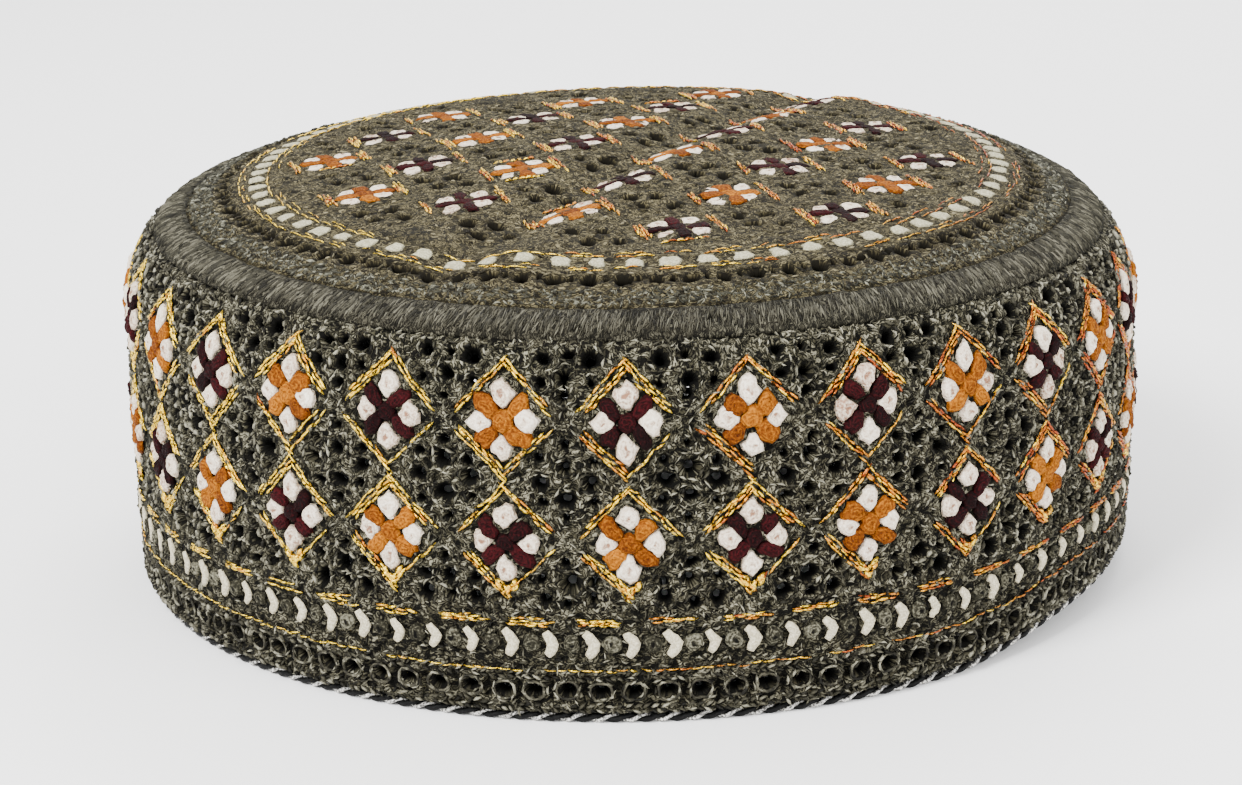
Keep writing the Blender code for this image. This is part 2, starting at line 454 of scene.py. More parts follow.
class Shape:
    """Points, faces and per-point values that become one mesh."""

    def __init__(self) -> None:
        """Start empty."""
        self.points: list[Array] = []
        self.faces: list[Array] = []
        self.values: dict[str, list[Array]] = {}
        self.count = 0

    def add(self, points: Array, faces: list[Array], **values: Array) -> None:
        """Add a batch of points, faces and values.

        Args:
            points: Places in space, one row each.
            faces: Corner numbers within this batch, one array for each number of corners.
            **values: Numbers, pairs or triples for each point.
        """
        self.points.append(points.reshape(-1, 3))
        self.faces.extend(np.asarray(corners) + self.count for corners in faces)
        for name, value in values.items():
            self.values.setdefault(name, []).append(np.asarray(value))
        self.count += len(self.points[-1])

    def build(self, name: str, material: bpy.types.Material, girth: float = 0.0) -> bpy.types.Object:
        """Make the mesh object, smooth all over.

        Args:
            name: Name of the piece.
            material: Its finish.
            girth: Where the lay map closes on itself, the distance round.

        Returns:
            The new object, at the origin.
        """
        points = np.concatenate(self.points).astype(np.float32)
        corners = np.concatenate([group.ravel() for group in self.faces]).astype(np.int32)
        sizes = np.concatenate([np.full(len(group), group.shape[1]) for group in self.faces])
        starts = np.concatenate(([0], np.cumsum(sizes)[:-1])).astype(np.int32)
        mesh = bpy.data.meshes.new(name)
        mesh.vertices.add(len(points))
        mesh.vertices.foreach_set("co", points.ravel())
        mesh.loops.add(len(corners))
        mesh.loops.foreach_set("vertex_index", corners)
        mesh.polygons.add(len(sizes))
        mesh.polygons.foreach_set("loop_start", starts)
        mesh.polygons.foreach_set("use_smooth", np.ones(len(sizes), bool))
        mesh.update(calc_edges=True)
        for key, parts in self.values.items():
            value = np.concatenate(parts).astype(np.float32)
            if value.ndim == 2 and value.shape[1] == 2:
                self.lay_map(mesh, key, value[corners], sizes, girth)
            else:
                kind = "FLOAT" if value.ndim == 1 else "FLOAT_VECTOR"
                mesh.attributes.new(key, kind, "POINT").data.foreach_set(
                    "value" if value.ndim == 1 else "vector", value.ravel())
        mesh.validate()
        mesh.materials.append(material)
        item = bpy.data.objects.new(name, mesh)
        bpy.context.scene.collection.objects.link(item)
        return item

    @staticmethod
    def lay_map(mesh: bpy.types.Mesh, key: str, pairs: Array, sizes: Array, girth: float) -> None:
        """Write a map, carrying the faces that cross the closing line over it.

        Args:
            mesh: The mesh to map.
            key: Name of the map.
            pairs: Map place of each corner.
            sizes: Corner count of each face.
            girth: Distance round, or 0 where nothing closes.
        """
        if girth:
            owner = np.repeat(np.arange(len(sizes)), sizes)
            highest = np.full(len(sizes), -np.inf)
            np.maximum.at(highest, owner, pairs[:, 0])
            pairs[:, 0] += np.where(highest[owner] - pairs[:, 0] > 0.5 * girth, girth, 0.0)
        mesh.uv_layers.new(name=key).data.foreach_set("uv", pairs.astype(np.float32).ravel())


def claim(item: bpy.types.Object, slot: str = "", *nodes: str) -> bpy.types.Object:
    """Ride a piece on the cap and hide the solids that it stands for."""
    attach(item, "root")
    if nodes:
        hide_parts(*nodes)
    item.data.calc_loop_triangles()
    LOG.info("%s: %d triangles", item.name, len(item.data.loop_triangles))
    return item


def closed_cloth(points: Array, under: Array, quads: Array) -> tuple[Array, list[Array]]:
    """Outer skin, inner skin turned over, and a wall along every open edge.

    Args:
        points: Outer places.
        under: Inner places, one for each outer place.
        quads: Faces of the outer skin that face outwards.

    Returns:
        All points and all faces.
    """
    count = len(points)
    edges = np.stack((quads, np.roll(quads, -1, axis=1)), axis=-1).reshape(-1, 2)
    key = edges[:, 0].astype(np.int64) * count + edges[:, 1]
    back = edges[:, 1].astype(np.int64) * count + edges[:, 0]
    open_edges = edges[~np.isin(key, back)]
    walls = np.stack((open_edges[:, 1], open_edges[:, 0],
                      open_edges[:, 0] + count, open_edges[:, 1] + count), axis=-1)
    return np.concatenate((points, under)), [quads, quads[:, ::-1] + count, walls]


def wall_grid(columns: int, rows: int, low: float, high: float) -> tuple[Array, Array]:
    """Flat places and faces of a grid that closes round the wall.  Columns run round, rows up."""
    grid = np.meshgrid(WALL.evenly(columns), np.linspace(low, high, rows))
    place = np.stack(grid, axis=-1).reshape(-1, 2)
    number = np.arange(rows * columns).reshape(rows, columns)
    right = np.roll(number, -1, axis=1)
    quads = np.stack((number[:-1], right[:-1], right[1:], number[1:]), axis=-1).reshape(-1, 4)
    return place, quads


def cloth_piece(name: str, finish: "NetThread", outer: Array, inner: Array, quads: Array, place: Array,
                flow: Array, tone: Array, girth: float = 0.0) -> bpy.types.Object:
    """Build a closed cloth that carries its lay map, thread directions and tones.

    Args:
        name: Name of the piece.
        finish: Its finish.
        outer: Points of the outer face.
        inner: Points of the inner face.
        quads: Faces of the outer face.
        place: Flat place of each outer point, which the map holds in millimetres.
        flow: Direction of the threads at each outer point.
        tone: Tones of the outer points, then of the inner ones, with painted shade in them.
        girth: Distance round in millimetres, where the cloth closes on itself.

    Returns:
        The new object.
    """
    points, faces = closed_cloth(outer, inner, quads)
    shape = Shape()
    shape.add(points, faces, lay=np.tile(place / MM, (2, 1)), flow=np.tile(flow, (2, 1)), shade=tone)
    return shape.build(name, finish.make(), girth)


def around_centre(patch: Patch, centre: Array, turn: Array, x: Array, y: Array) -> Array:
    """Flat places of local shapes, turned, set round their centres and true to length on the patch."""
    offset = turned(x, y, turn)
    offset[..., 0] /= patch.stretch(centre)[:, None]
    return (centre[:, None, :] + offset).reshape(-1, 2)


def strokes(shape: Shape, patch: Patch, centre: Array, turn: Array, size: Array, lift: Array | float,
            shade: Array, bend: Array | float = 0.0) -> None:
    """Add thread stitches as low closed ridges of eight triangles, pointed at both ends.

    A ridge has two tips, two flanks at its middle and two crest points at a third of its length.

    Args:
        shape: Where the ridges go.
        patch: Patch that they lie on.
        centre: Flat place of each stitch.
        turn: Direction of each stitch on the patch.
        size: Half length, half width and height of each stitch.
        lift: Height of the cloth under each stitch.
        shade: Tone of each stitch, which the net and crown stitches darken in the hollows as painted shade.
        bend: Sideways set of the tips.
    """
    along = np.array((-1.0, 1.0, 0.0, 0.0, -0.38, 0.38))
    across = np.array((0.0, 0.0, 1.0, -1.0, 0.0, 0.0))
    crest = np.array((0.0, 0.0, 0.0, 0.0, 1.0, 1.0))
    x = size[:, :1] * along
    y = size[:, 1:2] * across + np.reshape(bend, (-1, 1)) * along ** 2
    place = around_centre(patch, centre, turn, x, y)
    sunk = 0.16 * MM
    raised = np.reshape(lift, (-1, 1)) + np.where(crest > 0.0, size[:, 2:3], -sunk)
    points = patch.lay(place, raised.ravel())
    corners = np.array(((0, 3, 4), (0, 4, 2), (3, 5, 4), (2, 4, 5),
                        (3, 1, 5), (2, 5, 1), (0, 2, 3), (1, 3, 2)))
    faces = (np.arange(len(centre))[:, None, None] * 6 + corners).reshape(-1, 3)
    shape.add(points, [faces], shade=np.repeat(shade, 6))


def tubes(shape: Shape, centre: Array, normal: Array, radius: Array, sides: int,
          closed: bool = False, flat: float = 1.0, **values: Array) -> None:
    """Add tubes: rings square to each path, joined in order, with end faces unless closed.

    Args:
        shape: Where the tubes go.
        centre: Path points, tube by tube.
        normal: Upward direction at each path point.
        radius: Radius at each path point.
        sides: Number of sides.
        closed: Whether each path closes on itself.
        flat: Height of the section as a share of its width.
        **values: Numbers for each path point.
    """
    count, length = centre.shape[:2]
    if closed:
        ahead = np.roll(centre, -1, axis=1) - np.roll(centre, 1, axis=1)
    else:
        ahead = np.gradient(centre, axis=1)
    ahead = unit(ahead)
    side = unit(np.cross(normal, ahead))
    upward = np.cross(ahead, side)
    turn = FULL_TURN * np.arange(sides) / sides
    reach = radius[:, :, None, None]
    points = (centre[:, :, None, :]
              + reach * np.cos(turn)[:, None] * side[:, :, None, :]
              + reach * flat * np.sin(turn)[:, None] * upward[:, :, None, :])
    number = np.arange(count * length * sides).reshape(count, length, sides)
    here = number if closed else number[:, :-1]
    there = np.roll(number, -1, axis=1) if closed else number[:, 1:]
    quads = np.stack((here, np.roll(here, -1, axis=2), np.roll(there, -1, axis=2), there), axis=-1)
    faces = [quads.reshape(-1, 4)]
    if not closed:
        faces += [number[:, 0, ::-1], number[:, -1]]
    spread = {key: np.repeat(value.ravel(), sides) for key, value in values.items()}
    shape.add(points, faces, **spread)


def laid_tubes(shape: Shape, patch: Patch, path: Array, lift: Array, radius: Array, sides: int,
               closed: bool = False, flat: float = 1.0, **values: Array) -> None:
    """Add tubes whose paths are flat places on a patch, raised by a lift."""
    normal = patch.normal(path)
    centre = patch.face(path) + normal * lift[..., None]
    tubes(shape, centre, normal, radius, sides, closed, flat, **values)


def knots(shape: Shape, patch: Patch, centre: Array, turn: Array, size: Array, lift: float,
          taper: float, seed: int, square: float = 2.0, **values: Array) -> None:
    """Add rounded thread knots: rings of a wobbly dome whose middle dips, closed underneath.

    Args:
        shape: Where the knots go.
        patch: Patch that they lie on.
        centre: Flat place of each knot.
        turn: Direction of its long axis.
        size: Half length, half width and height of each knot.
        lift: Height of the cloth under the knots.
        taper: How much the far end is wider than the near end.
        seed: Seed of the wobble.
        square: Power of the outline: 1 is a diamond, 2 an oval and more than 3 a block.
        **values: Numbers for each knot.
    """
    rng = np.random.default_rng(seed)
    segments = 12
    reach = np.array((0.36, 0.74, 1.0))
    rise = np.array((1.0, 0.80, -0.25))
    middle_rise, foot_rise = 0.86, -0.25
    bearing = FULL_TURN * (np.arange(segments) + 0.5 * (square > 3.0)) / segments
    outline = (np.abs(np.cos(bearing)) ** square + np.abs(np.sin(bearing)) ** square) ** (-1.0 / square)
    phase = rng.uniform(0.0, FULL_TURN, (len(centre), 3, 1))
    wobble = 1.0
    for index, (amount, lobes) in enumerate(((0.07, 2.0), (0.08, 3.0), (0.09, 5.0))):
        wobble = wobble + amount * np.sin(lobes * bearing + phase[:, index])
    wobble = outline * wobble
    local_x = reach[None, :, None] * (np.cos(bearing) * wobble)[:, None, :]
    local_y = reach[None, :, None] * (np.sin(bearing) * wobble)[:, None, :]
    local_y = local_y * (1.0 + taper * local_x)
    x = local_x.reshape(len(centre), -1)
    y = local_y.reshape(len(centre), -1)
    height = np.repeat(rise, segments)[None, :] * (1.0 + 0.16 * rng.normal(size=x.shape))
    x, y = np.pad(x, ((0, 0), (1, 1))), np.pad(y, ((0, 0), (1, 1)))
    ends = np.ones((len(centre), 1))
    height = np.concatenate((ends * middle_rise, height, ends * foot_rise), axis=1)
    place = around_centre(patch, centre, turn, x * size[:, :1], y * size[:, 1:2])
    points = patch.lay(place, (lift + height * size[:, 2:3]).ravel())
    ring = 1 + np.arange(len(reach) * segments).reshape(len(reach), segments)
    after = np.roll(ring, -1, axis=1)
    total = len(reach) * segments + 2
    cap = np.stack((np.zeros(segments, int), ring[0], after[0]), axis=-1)
    foot = np.stack((np.full(segments, total - 1), after[-1], ring[-1]), axis=-1)
    quads = np.stack((ring[:-1], ring[1:], after[1:], after[:-1]), axis=-1).reshape(-1, 4)
    start = np.arange(len(centre))[:, None, None] * total
    faces = [(start + cap).reshape(-1, 3), (start + foot).reshape(-1, 3), (start + quads).reshape(-1, 4)]
    coil = np.stack((x, y), axis=-1).reshape(-1, 2)
    spread = {key: np.repeat(value, total) for key, value in values.items()}
    shape.add(points, faces, coil=coil, **spread)


class Sock:
    """A node's output, with Python's operators standing for Math nodes."""

    def __init__(self, graph: "Graph", socket: bpy.types.NodeSocket) -> None:
        """Wrap one output."""
        self.graph = graph
        self.socket = socket

    def math(self, operation: str, *values: "Sock | float") -> "Sock":
        """A Math node on this value and others."""
        return self.graph.math(operation, self, *values)

    def __add__(self, other: "Sock | float") -> "Sock":
        """Sum."""
        return self.math("ADD", other)

    __radd__ = __add__

    def __mul__(self, other: "Sock | float") -> "Sock":
        """Product."""
        return self.math("MULTIPLY", other)

    __rmul__ = __mul__

    def __sub__(self, other: "Sock | float") -> "Sock":
        """Difference."""
        return self.math("SUBTRACT", other)

    def __rsub__(self, other: float) -> "Sock":
        """Reflected difference."""
        return self.graph.math("SUBTRACT", other, self)

    def __pow__(self, other: float) -> "Sock":
        """Power."""
        return self.math("POWER", other)

    def ramp(self, low: float, high: float) -> "Sock":
        """Smooth step from 0 at low to 1 at high."""
        return self.graph.node("ShaderNodeMapRange", {"interpolation_type": "SMOOTHSTEP"},
                               {0: self, 1: low, 2: high})


class Graph:
    """Node tree of one material."""

    def __init__(self, name: str) -> None:
        """Start a material with an output and nothing else."""
        self.material = bpy.data.materials.new(name)
        self.material.use_nodes = True
        self.tree = self.material.node_tree
        self.tree.nodes.clear()

    def node(self, kind: str, settings: dict, inputs: dict, output: int | str = 0) -> Sock:
        """Add a node.

        Args:
            kind: Type name of the node.
            settings: Properties set before the sockets.
            inputs: Value or link of each socket, by name or number.
            output: Which output to return.

        Returns:
            The wrapped output.
        """
        node = self.tree.nodes.new(kind)
        for key, value in settings.items():
            if key == "stops":
                self.set_stops(node.color_ramp, value)
            else:
                setattr(node, key, value)
        for key, value in inputs.items():
            if isinstance(value, Sock):
                self.tree.links.new(value.socket, node.inputs[key])
            elif isinstance(value, tuple) and len(value) == 3 and node.inputs[key].type == "RGBA":
                node.inputs[key].default_value = (*value, 1.0)
            else:
                node.inputs[key].default_value = value
        return Sock(self, node.outputs[output]) if node.outputs else Sock(self, None)

    @staticmethod
    def set_stops(ramp: bpy.types.ColorRamp, stops: tuple) -> None:
        """Write the positions and colours of a ramp."""
        while len(ramp.elements) < len(stops):
            ramp.elements.new(0.5)
        for element, (position, colour) in zip(ramp.elements, stops):
            element.position = position
            element.color = (*colour, 1.0)

    def math(self, operation: str, *values: Sock | float) -> Sock:
        """A Math node."""
        return self.node("ShaderNodeMath", {"operation": operation}, dict(enumerate(values)))

    def vector(self, operation: str, *values: Sock | tuple, output: int | str = 0) -> Sock:
        """A Vector Math node."""
        inputs = dict(enumerate(values))
        return self.node("ShaderNodeVectorMath", {"operation": operation}, inputs, output)

    def scaled(self, vector: Sock, factor: Sock | float) -> Sock:
        """A vector times a number."""
        return self.node("ShaderNodeVectorMath", {"operation": "SCALE"}, {0: vector, "Scale": factor})

    def mix(self, factor: Sock | float, low: Sock | Colour, high: Sock | Colour) -> Sock:
        """A mix of two colours."""
        return self.node("ShaderNodeMix", {"data_type": "RGBA"}, {0: factor, 6: low, 7: high}, 2)

    def number(self, name: str) -> Sock:
        """A per-point number of the piece."""
        return self.node("ShaderNodeAttribute", {"attribute_name": name}, {}, "Fac")

    def arrow(self, name: str) -> Sock:
        """A per-point vector of the piece."""
        return self.node("ShaderNodeAttribute", {"attribute_name": name}, {}, "Vector")

    def place(self) -> Sock:
        """Object coordinates in millimetres."""
        place = self.node("ShaderNodeTexCoord", {}, {}, "Object")
        return self.scaled(place, 1.0 / MM)

    def noise(self, at: Sock, scale: float, detail: float = 2.0, output: str = "Fac",
              flat: bool = False) -> Sock:
        """Noise at a place, in two or three dimensions."""
        return self.node("ShaderNodeTexNoise", {"noise_dimensions": "2D" if flat else "3D"},
                         {"Vector": at, "Scale": scale, "Detail": detail, "Roughness": 0.6}, output)

    def parts(self, kind: str, source: Sock) -> tuple[Sock, Sock, Sock]:
        """The three numbers of a colour or vector, by the type name of a Separate node."""
        node = self.tree.nodes.new(kind)
        self.tree.links.new(source.socket, node.inputs[0])
        return Sock(self, node.outputs[0]), Sock(self, node.outputs[1]), Sock(self, node.outputs[2])

    def shifted(self, at: Sock, source: Sock, scale: float, amount: float, flat: bool = False) -> Sock:
        """A place moved by a smooth noise of its own or of another place."""
        warp = self.vector("SUBTRACT", self.noise(source, scale, 1.0, "Color", flat), (0.5, 0.5, 0.5))
        return self.vector("ADD", at, self.scaled(warp, amount))

    def ramp(self, tone: Sock, *stops: tuple[float, Colour]) -> Sock:
        """A colour ramp over a tone, by positions and colours."""
        return self.node("ShaderNodeValToRGB", {"stops": stops}, {0: tone})

    def random(self, *values: Sock | float) -> Sock:
        """A random number for each set of up to three whole numbers."""
        key = self.node("ShaderNodeCombineXYZ", {}, dict(enumerate(values)))
        return self.node("ShaderNodeTexWhiteNoise", {"noise_dimensions": "3D"}, {"Vector": key}, "Value")

    def finish(self, colour: Sock | Colour, roughness: Sock | float, height: Sock | None = None,
               depth: float = 0.2 * MM, **constants: float) -> bpy.types.Material:
        """Close the tree with a Principled shader.

        Args:
            colour: Base colour.
            roughness: Roughness.
            height: Bump height from 0 to 1.
            depth: Depth that a height of 1 stands for.
            **constants: Further shader sockets, with spaces written as underscores.

        Returns:
            The material.
        """
        inputs = {"Base Color": colour, "Roughness": roughness}
        inputs.update({key.replace("_", " "): value for key, value in constants.items()})
        if height is not None:
            bump = {"Strength": 1.0, "Distance": depth, "Height": height}
            inputs["Normal"] = self.node("ShaderNodeBump", {}, bump)
        shader = self.node("ShaderNodeBsdfPrincipled", {}, inputs)
        self.node("ShaderNodeOutputMaterial", {}, {"Surface": shader})
        return self.material


@dataclass(frozen=True)
class NetThread:
    """Finish of the cloth: short curly threads, light over dark, in a random or a set direction.

    The cloth is split in cells.  Each cell has its own direction, which the flow attribute can
    set.  Its threads are lines along that direction, cut in flecks that are light or dark.
    """

    name: str
    dark: Colour = (0.0016, 0.0015, 0.0009)
    middle: Colour = (0.031, 0.0282, 0.0166)
    light: Colour = (0.185, 0.173, 0.122)
    pitch: float = 0.50
    fleck: float = 1.40
    cell: float = 1.9
    curl: float = 1.4
    depth: float = 0.20 * MM

    def make(self) -> bpy.types.Material:
        """Build the material."""
        graph = Graph(self.name)
        lay = graph.node("ShaderNodeUVMap", {"uv_map": "lay"}, {})
        bent = graph.shifted(lay, lay, 0.9, self.curl, True)
        cells = {"Vector": bent, "Scale": 1.0 / self.cell, "Randomness": 1.0}
        settings = {"voronoi_dimensions": "2D"}
        tint = graph.node("ShaderNodeTexVoronoi", settings, cells, "Color")
        seat = graph.node("ShaderNodeTexVoronoi", settings, cells, "Position")
        red, green, blue = graph.parts("ShaderNodeSeparateColor", tint)
        angle = red * FULL_TURN
        free = graph.node("ShaderNodeCombineXYZ", {}, {0: angle.math("COSINE"), 1: angle.math("SINE")})
        flow = graph.scaled(graph.arrow("flow"), 2.5)
        heading = graph.vector("NORMALIZE", graph.vector("ADD", free, flow))
        side = graph.vector("CROSS_PRODUCT", heading, (0.0, 0.0, 1.0))
        offset = graph.vector("SUBTRACT", bent, seat)
        across = graph.vector("DOT_PRODUCT", offset, side, output="Value") * (1.0 / self.pitch)
        across = across + green * 7.0
        line = across.math("FLOOR")
        along = graph.vector("DOT_PRODUCT", offset, heading, output="Value") * (1.0 / self.fleck)
        along = along + graph.random(line, blue * 31.0) * 5.0
        chance = graph.random(line, along.math("FLOOR"), red * 97.0)
        round_across = 1.0 - (across.math("FRACT") * 2.0 - 1.0) ** 2.0
        round_along = 1.0 - (along.math("FRACT") * 2.0 - 1.0) ** 4.0
        body = round_across * round_along
        fuzz = graph.noise(lay, 2.8, 2.0, flat=True)
        patchy = graph.noise(lay, 0.33, 2.0, flat=True)
        shade = graph.number("shade")
        tone = body * (chance * 0.95 + 0.12) + (fuzz - 0.5) * 0.40 + (patchy - 0.5) * 0.45 + 0.06
        # The shade attribute scales the tone: it carries painted shade in the hollows, grooves and beside
        # the holes, on the inner skin and inside the holes, and painted light inside a few holes.
        tone = tone * (0.30 + 0.80 * shade)
        colour = graph.ramp(tone, (0.12, self.dark), (0.32, self.middle), (0.82, self.light))
        height = body * (chance * 0.6 + 0.4)
        return graph.finish(colour, 0.85, height, self.depth, Specular_IOR_Level=0.08)


@dataclass(frozen=True)
class StitchThread:
    """Finish of single stitches: one thread whose tone comes from the stitch."""

    name: str
    dark: Colour = (0.004, 0.0036, 0.0022)
    middle: Colour = (0.046, 0.0425, 0.028)
    light: Colour = (0.270, 0.256, 0.190)

    def make(self) -> bpy.types.Material:
        """Build the material."""
        graph = Graph(self.name)
        place = graph.place()
        grain = graph.noise(place, 3.2, 2.0)
        # The shade attribute is each stitch's random tone, which the net and crown stitches darken in the
        # hollows as painted shade.
        tone = graph.number("shade") + (grain - 0.5) * 0.5
        colour = graph.ramp(tone, (0.05, self.dark), (0.50, self.middle), (0.98, self.light))
        return graph.finish(colour, 0.7, grain, 0.10 * MM, Specular_IOR_Level=0.15)


@dataclass(frozen=True)
class KnotCotton:
    """Finish of the knots: soft cotton wound round and round, with a second tone.  Its deep colour is
    partly the cotton's own variation and partly painted shade in the creases, where the same noise lowers
    the bump, and in the dipped middle.
    """

    name: str
    deep: Colour
    main: Colour
    pale: Colour
    painted_dip_shade: float = 0.0

    def make(self) -> bpy.types.Material:
        """Build the material."""
        graph = Graph(self.name)
        coil = graph.node("ShaderNodeUVMap", {"uv_map": "coil"}, {})
        place = graph.place()
        bent = graph.shifted(coil, place, 0.7, 0.9)
        out = graph.vector("LENGTH", bent, output="Value")
        x, y, _ = graph.parts("ShaderNodeSeparateXYZ", bent)
        bearing = y.math("ARCTAN2", x)
        wind = ((out * 17.0 + bearing).math("SINE") + 1.0) * 0.5
        fuzz = graph.noise(place, 2.6, 2.0)
        tone = wind * 0.20 + fuzz * 0.95 - 0.05 + (graph.number("tone") - 0.5) * 0.7
        # Painted shade in the dipped middle of each knot.
        tone = tone - (1.0 - out.ramp(0.08, 0.36)) * self.painted_dip_shade
        colour = graph.ramp(tone, (0.12, self.deep), (0.48, self.main), (0.92, self.pale))
        return graph.finish(colour, 0.85, wind * 0.4 + fuzz * 0.8, 0.26 * MM, Specular_IOR_Level=0.08)


@dataclass(frozen=True)
class MetalThread:
    """Finish of the gold thread: flat metal wound on a core, yellow to copper, with painted glints and
    painted shade in its creases.
    """

    name: str
    yellow: Colour = (0.86, 0.59, 0.050)
    orange: Colour = (0.54, 0.215, 0.024)
    copper: Colour = (0.30, 0.060, 0.020)
    painted_crease_shade: Colour = (0.022, 0.011, 0.003)

    def make(self) -> bpy.types.Material:
        """Build the material."""
        graph = Graph(self.name)
        place = graph.place()
        # The glint noise paints bright yellow glints and copper darks into the colour, on top of each
        # strand's own tone, and drives the bump.
        glint = graph.noise(place, 2.2, 2.0)
        tone = graph.number("tone") + (glint - 0.5) * 0.7
        colour = graph.ramp(tone, (0.15, self.yellow), (0.55, self.orange), (0.92, self.copper))
        # Painted shade: near-black patches in the creases between the windings.
        painted_crease_mask = graph.noise(place, 1.5, 3.0)
        colour = graph.mix(painted_crease_mask.ramp(0.37, 0.50), self.painted_crease_shade, colour)
        return graph.finish(colour, 0.36, glint, 0.26 * MM, Metallic=1.0)


@dataclass(frozen=True)
class PlainThread:
    """Finish of a smooth twisted thread: one colour mixed by noise with a lighter one, as faint strands on
    the cottons and as painted sparkles on the silver cord.
    """

    name: str
    colour: Colour
    lift: Colour
    rough: float = 0.55
    metal: float = 0.0

    def make(self) -> bpy.types.Material:
        """Build the material."""
        graph = Graph(self.name)
        place = graph.place()
        grain = graph.noise(place, 2.8, 2.0)
        colour = graph.mix(grain.ramp(0.38, 0.66), self.colour, self.lift)
        return graph.finish(colour, self.rough, grain, 0.16 * MM, Metallic=self.metal,
                            Specular_IOR_Level=0.12)


NET_CLOTH = NetThread("net_cloth")
CROWN_CLOTH = NetThread("crown_cloth", dark=(0.0042, 0.0035, 0.0017), middle=(0.028, 0.0232, 0.0108),
                        light=(0.125, 0.107, 0.058), pitch=0.40, cell=1.5, depth=0.14 * MM)
SEAM_CLOTH = NetThread("seam_cloth", dark=(0.004, 0.0037, 0.0024), middle=(0.024, 0.0220, 0.0145),
                       light=(0.085, 0.079, 0.056), pitch=0.40, cell=2.0)
NET_STITCH = StitchThread("net_stitch")
BRAID_STITCH = StitchThread("braid_stitch")
CROWN_STITCH = StitchThread("crown_stitch", (0.006, 0.005, 0.0026), (0.042, 0.035, 0.018),
                            (0.20, 0.175, 0.105))
RING_STITCH = StitchThread("ring_stitch", (0.006, 0.0058, 0.0038), (0.040, 0.0385, 0.026),
                           (0.20, 0.195, 0.145))
SATIN_STITCH = StitchThread("satin_stitch", (0.007, 0.0064, 0.0042), (0.036, 0.0332, 0.0222),
                            (0.125, 0.117, 0.084))
COIL_THREAD = KnotCotton("coil_thread", (0.0016, 0.0015, 0.001), (0.022, 0.0205, 0.0130),
                         (0.20, 0.19, 0.135), 0.55)
WHITE_COTTON = KnotCotton("white_cotton", (0.22, 0.115, 0.070), (0.60, 0.50, 0.385),
                          (0.84, 0.77, 0.64), 0.34)
ORANGE_COTTON = KnotCotton("orange_cotton", (0.030, 0.0048, 0.0006), (0.136, 0.0345, 0.0011),
                           (0.38, 0.135, 0.0070))
MAROON_COTTON = KnotCotton("maroon_cotton", (0.0015, 0.0002, 0.0003), (0.0056, 0.0004, 0.0006),
                           (0.036, 0.0023, 0.0036))
CRESCENT_COTTON = PlainThread("crescent_cotton", (0.34, 0.30, 0.20), (0.56, 0.51, 0.37), 0.8)
DASH_COTTON = PlainThread("dash_cotton", (0.24, 0.222, 0.140), (0.43, 0.402, 0.280), 0.8)
BLACK_CORD = PlainThread("black_cord", (0.001, 0.001, 0.001), (0.004, 0.004, 0.004), 0.6)
# Painted highlights: the noise mixes bright sparkles into a dark silver.
SILVER_CORD = PlainThread("silver_cord", (0.05, 0.048, 0.044), (0.80, 0.78, 0.73), 0.35, 0.4)


class Cotton(Enum):
    """Colours of the knots, by the piece that they make."""

    WHITE = "white_petals"
    ORANGE = "orange_knots"
    MAROON = "maroon_knots"


Range = tuple[float, float]


def stitch_sizes(rng: np.random.Generator, count: int, ranges: tuple[Range, ...]) -> Array:
    """Sizes in metres, one row for each stitch, from ranges in millimetres."""
    return np.stack([rng.uniform(low, high, count) for low, high in ranges], axis=-1) * MM


@dataclass
class Motif:
    """The diamond repeat: its size and the padding under its knots and border threads."""

    half_wide: float = 10.1 * MM
    half_tall: float = 10.4 * MM
    pad: float = 0.45 * MM
    pad_edge: float = 0.74
    pad_fade: float = 0.18
    border_at: float = 0.89
    border_wide: float = 0.10
    border_tall: float = 0.24 * MM

    def measure(self, x: Array, y: Array) -> Array:
        """How far out a place lies in the diamond: 0 at the middle and 1 on its outline."""
        return np.abs(x) / self.half_wide + np.abs(y) / self.half_tall

    def relief(self, measure: Array) -> Array:
        """Padding inside the diamond and a low ridge under the border threads."""
        pad = self.pad * np.clip((self.pad_edge - measure) / self.pad_fade, 0.0, 1.0)
        return pad + self.border_tall * hill(measure - self.border_at, self.border_wide)


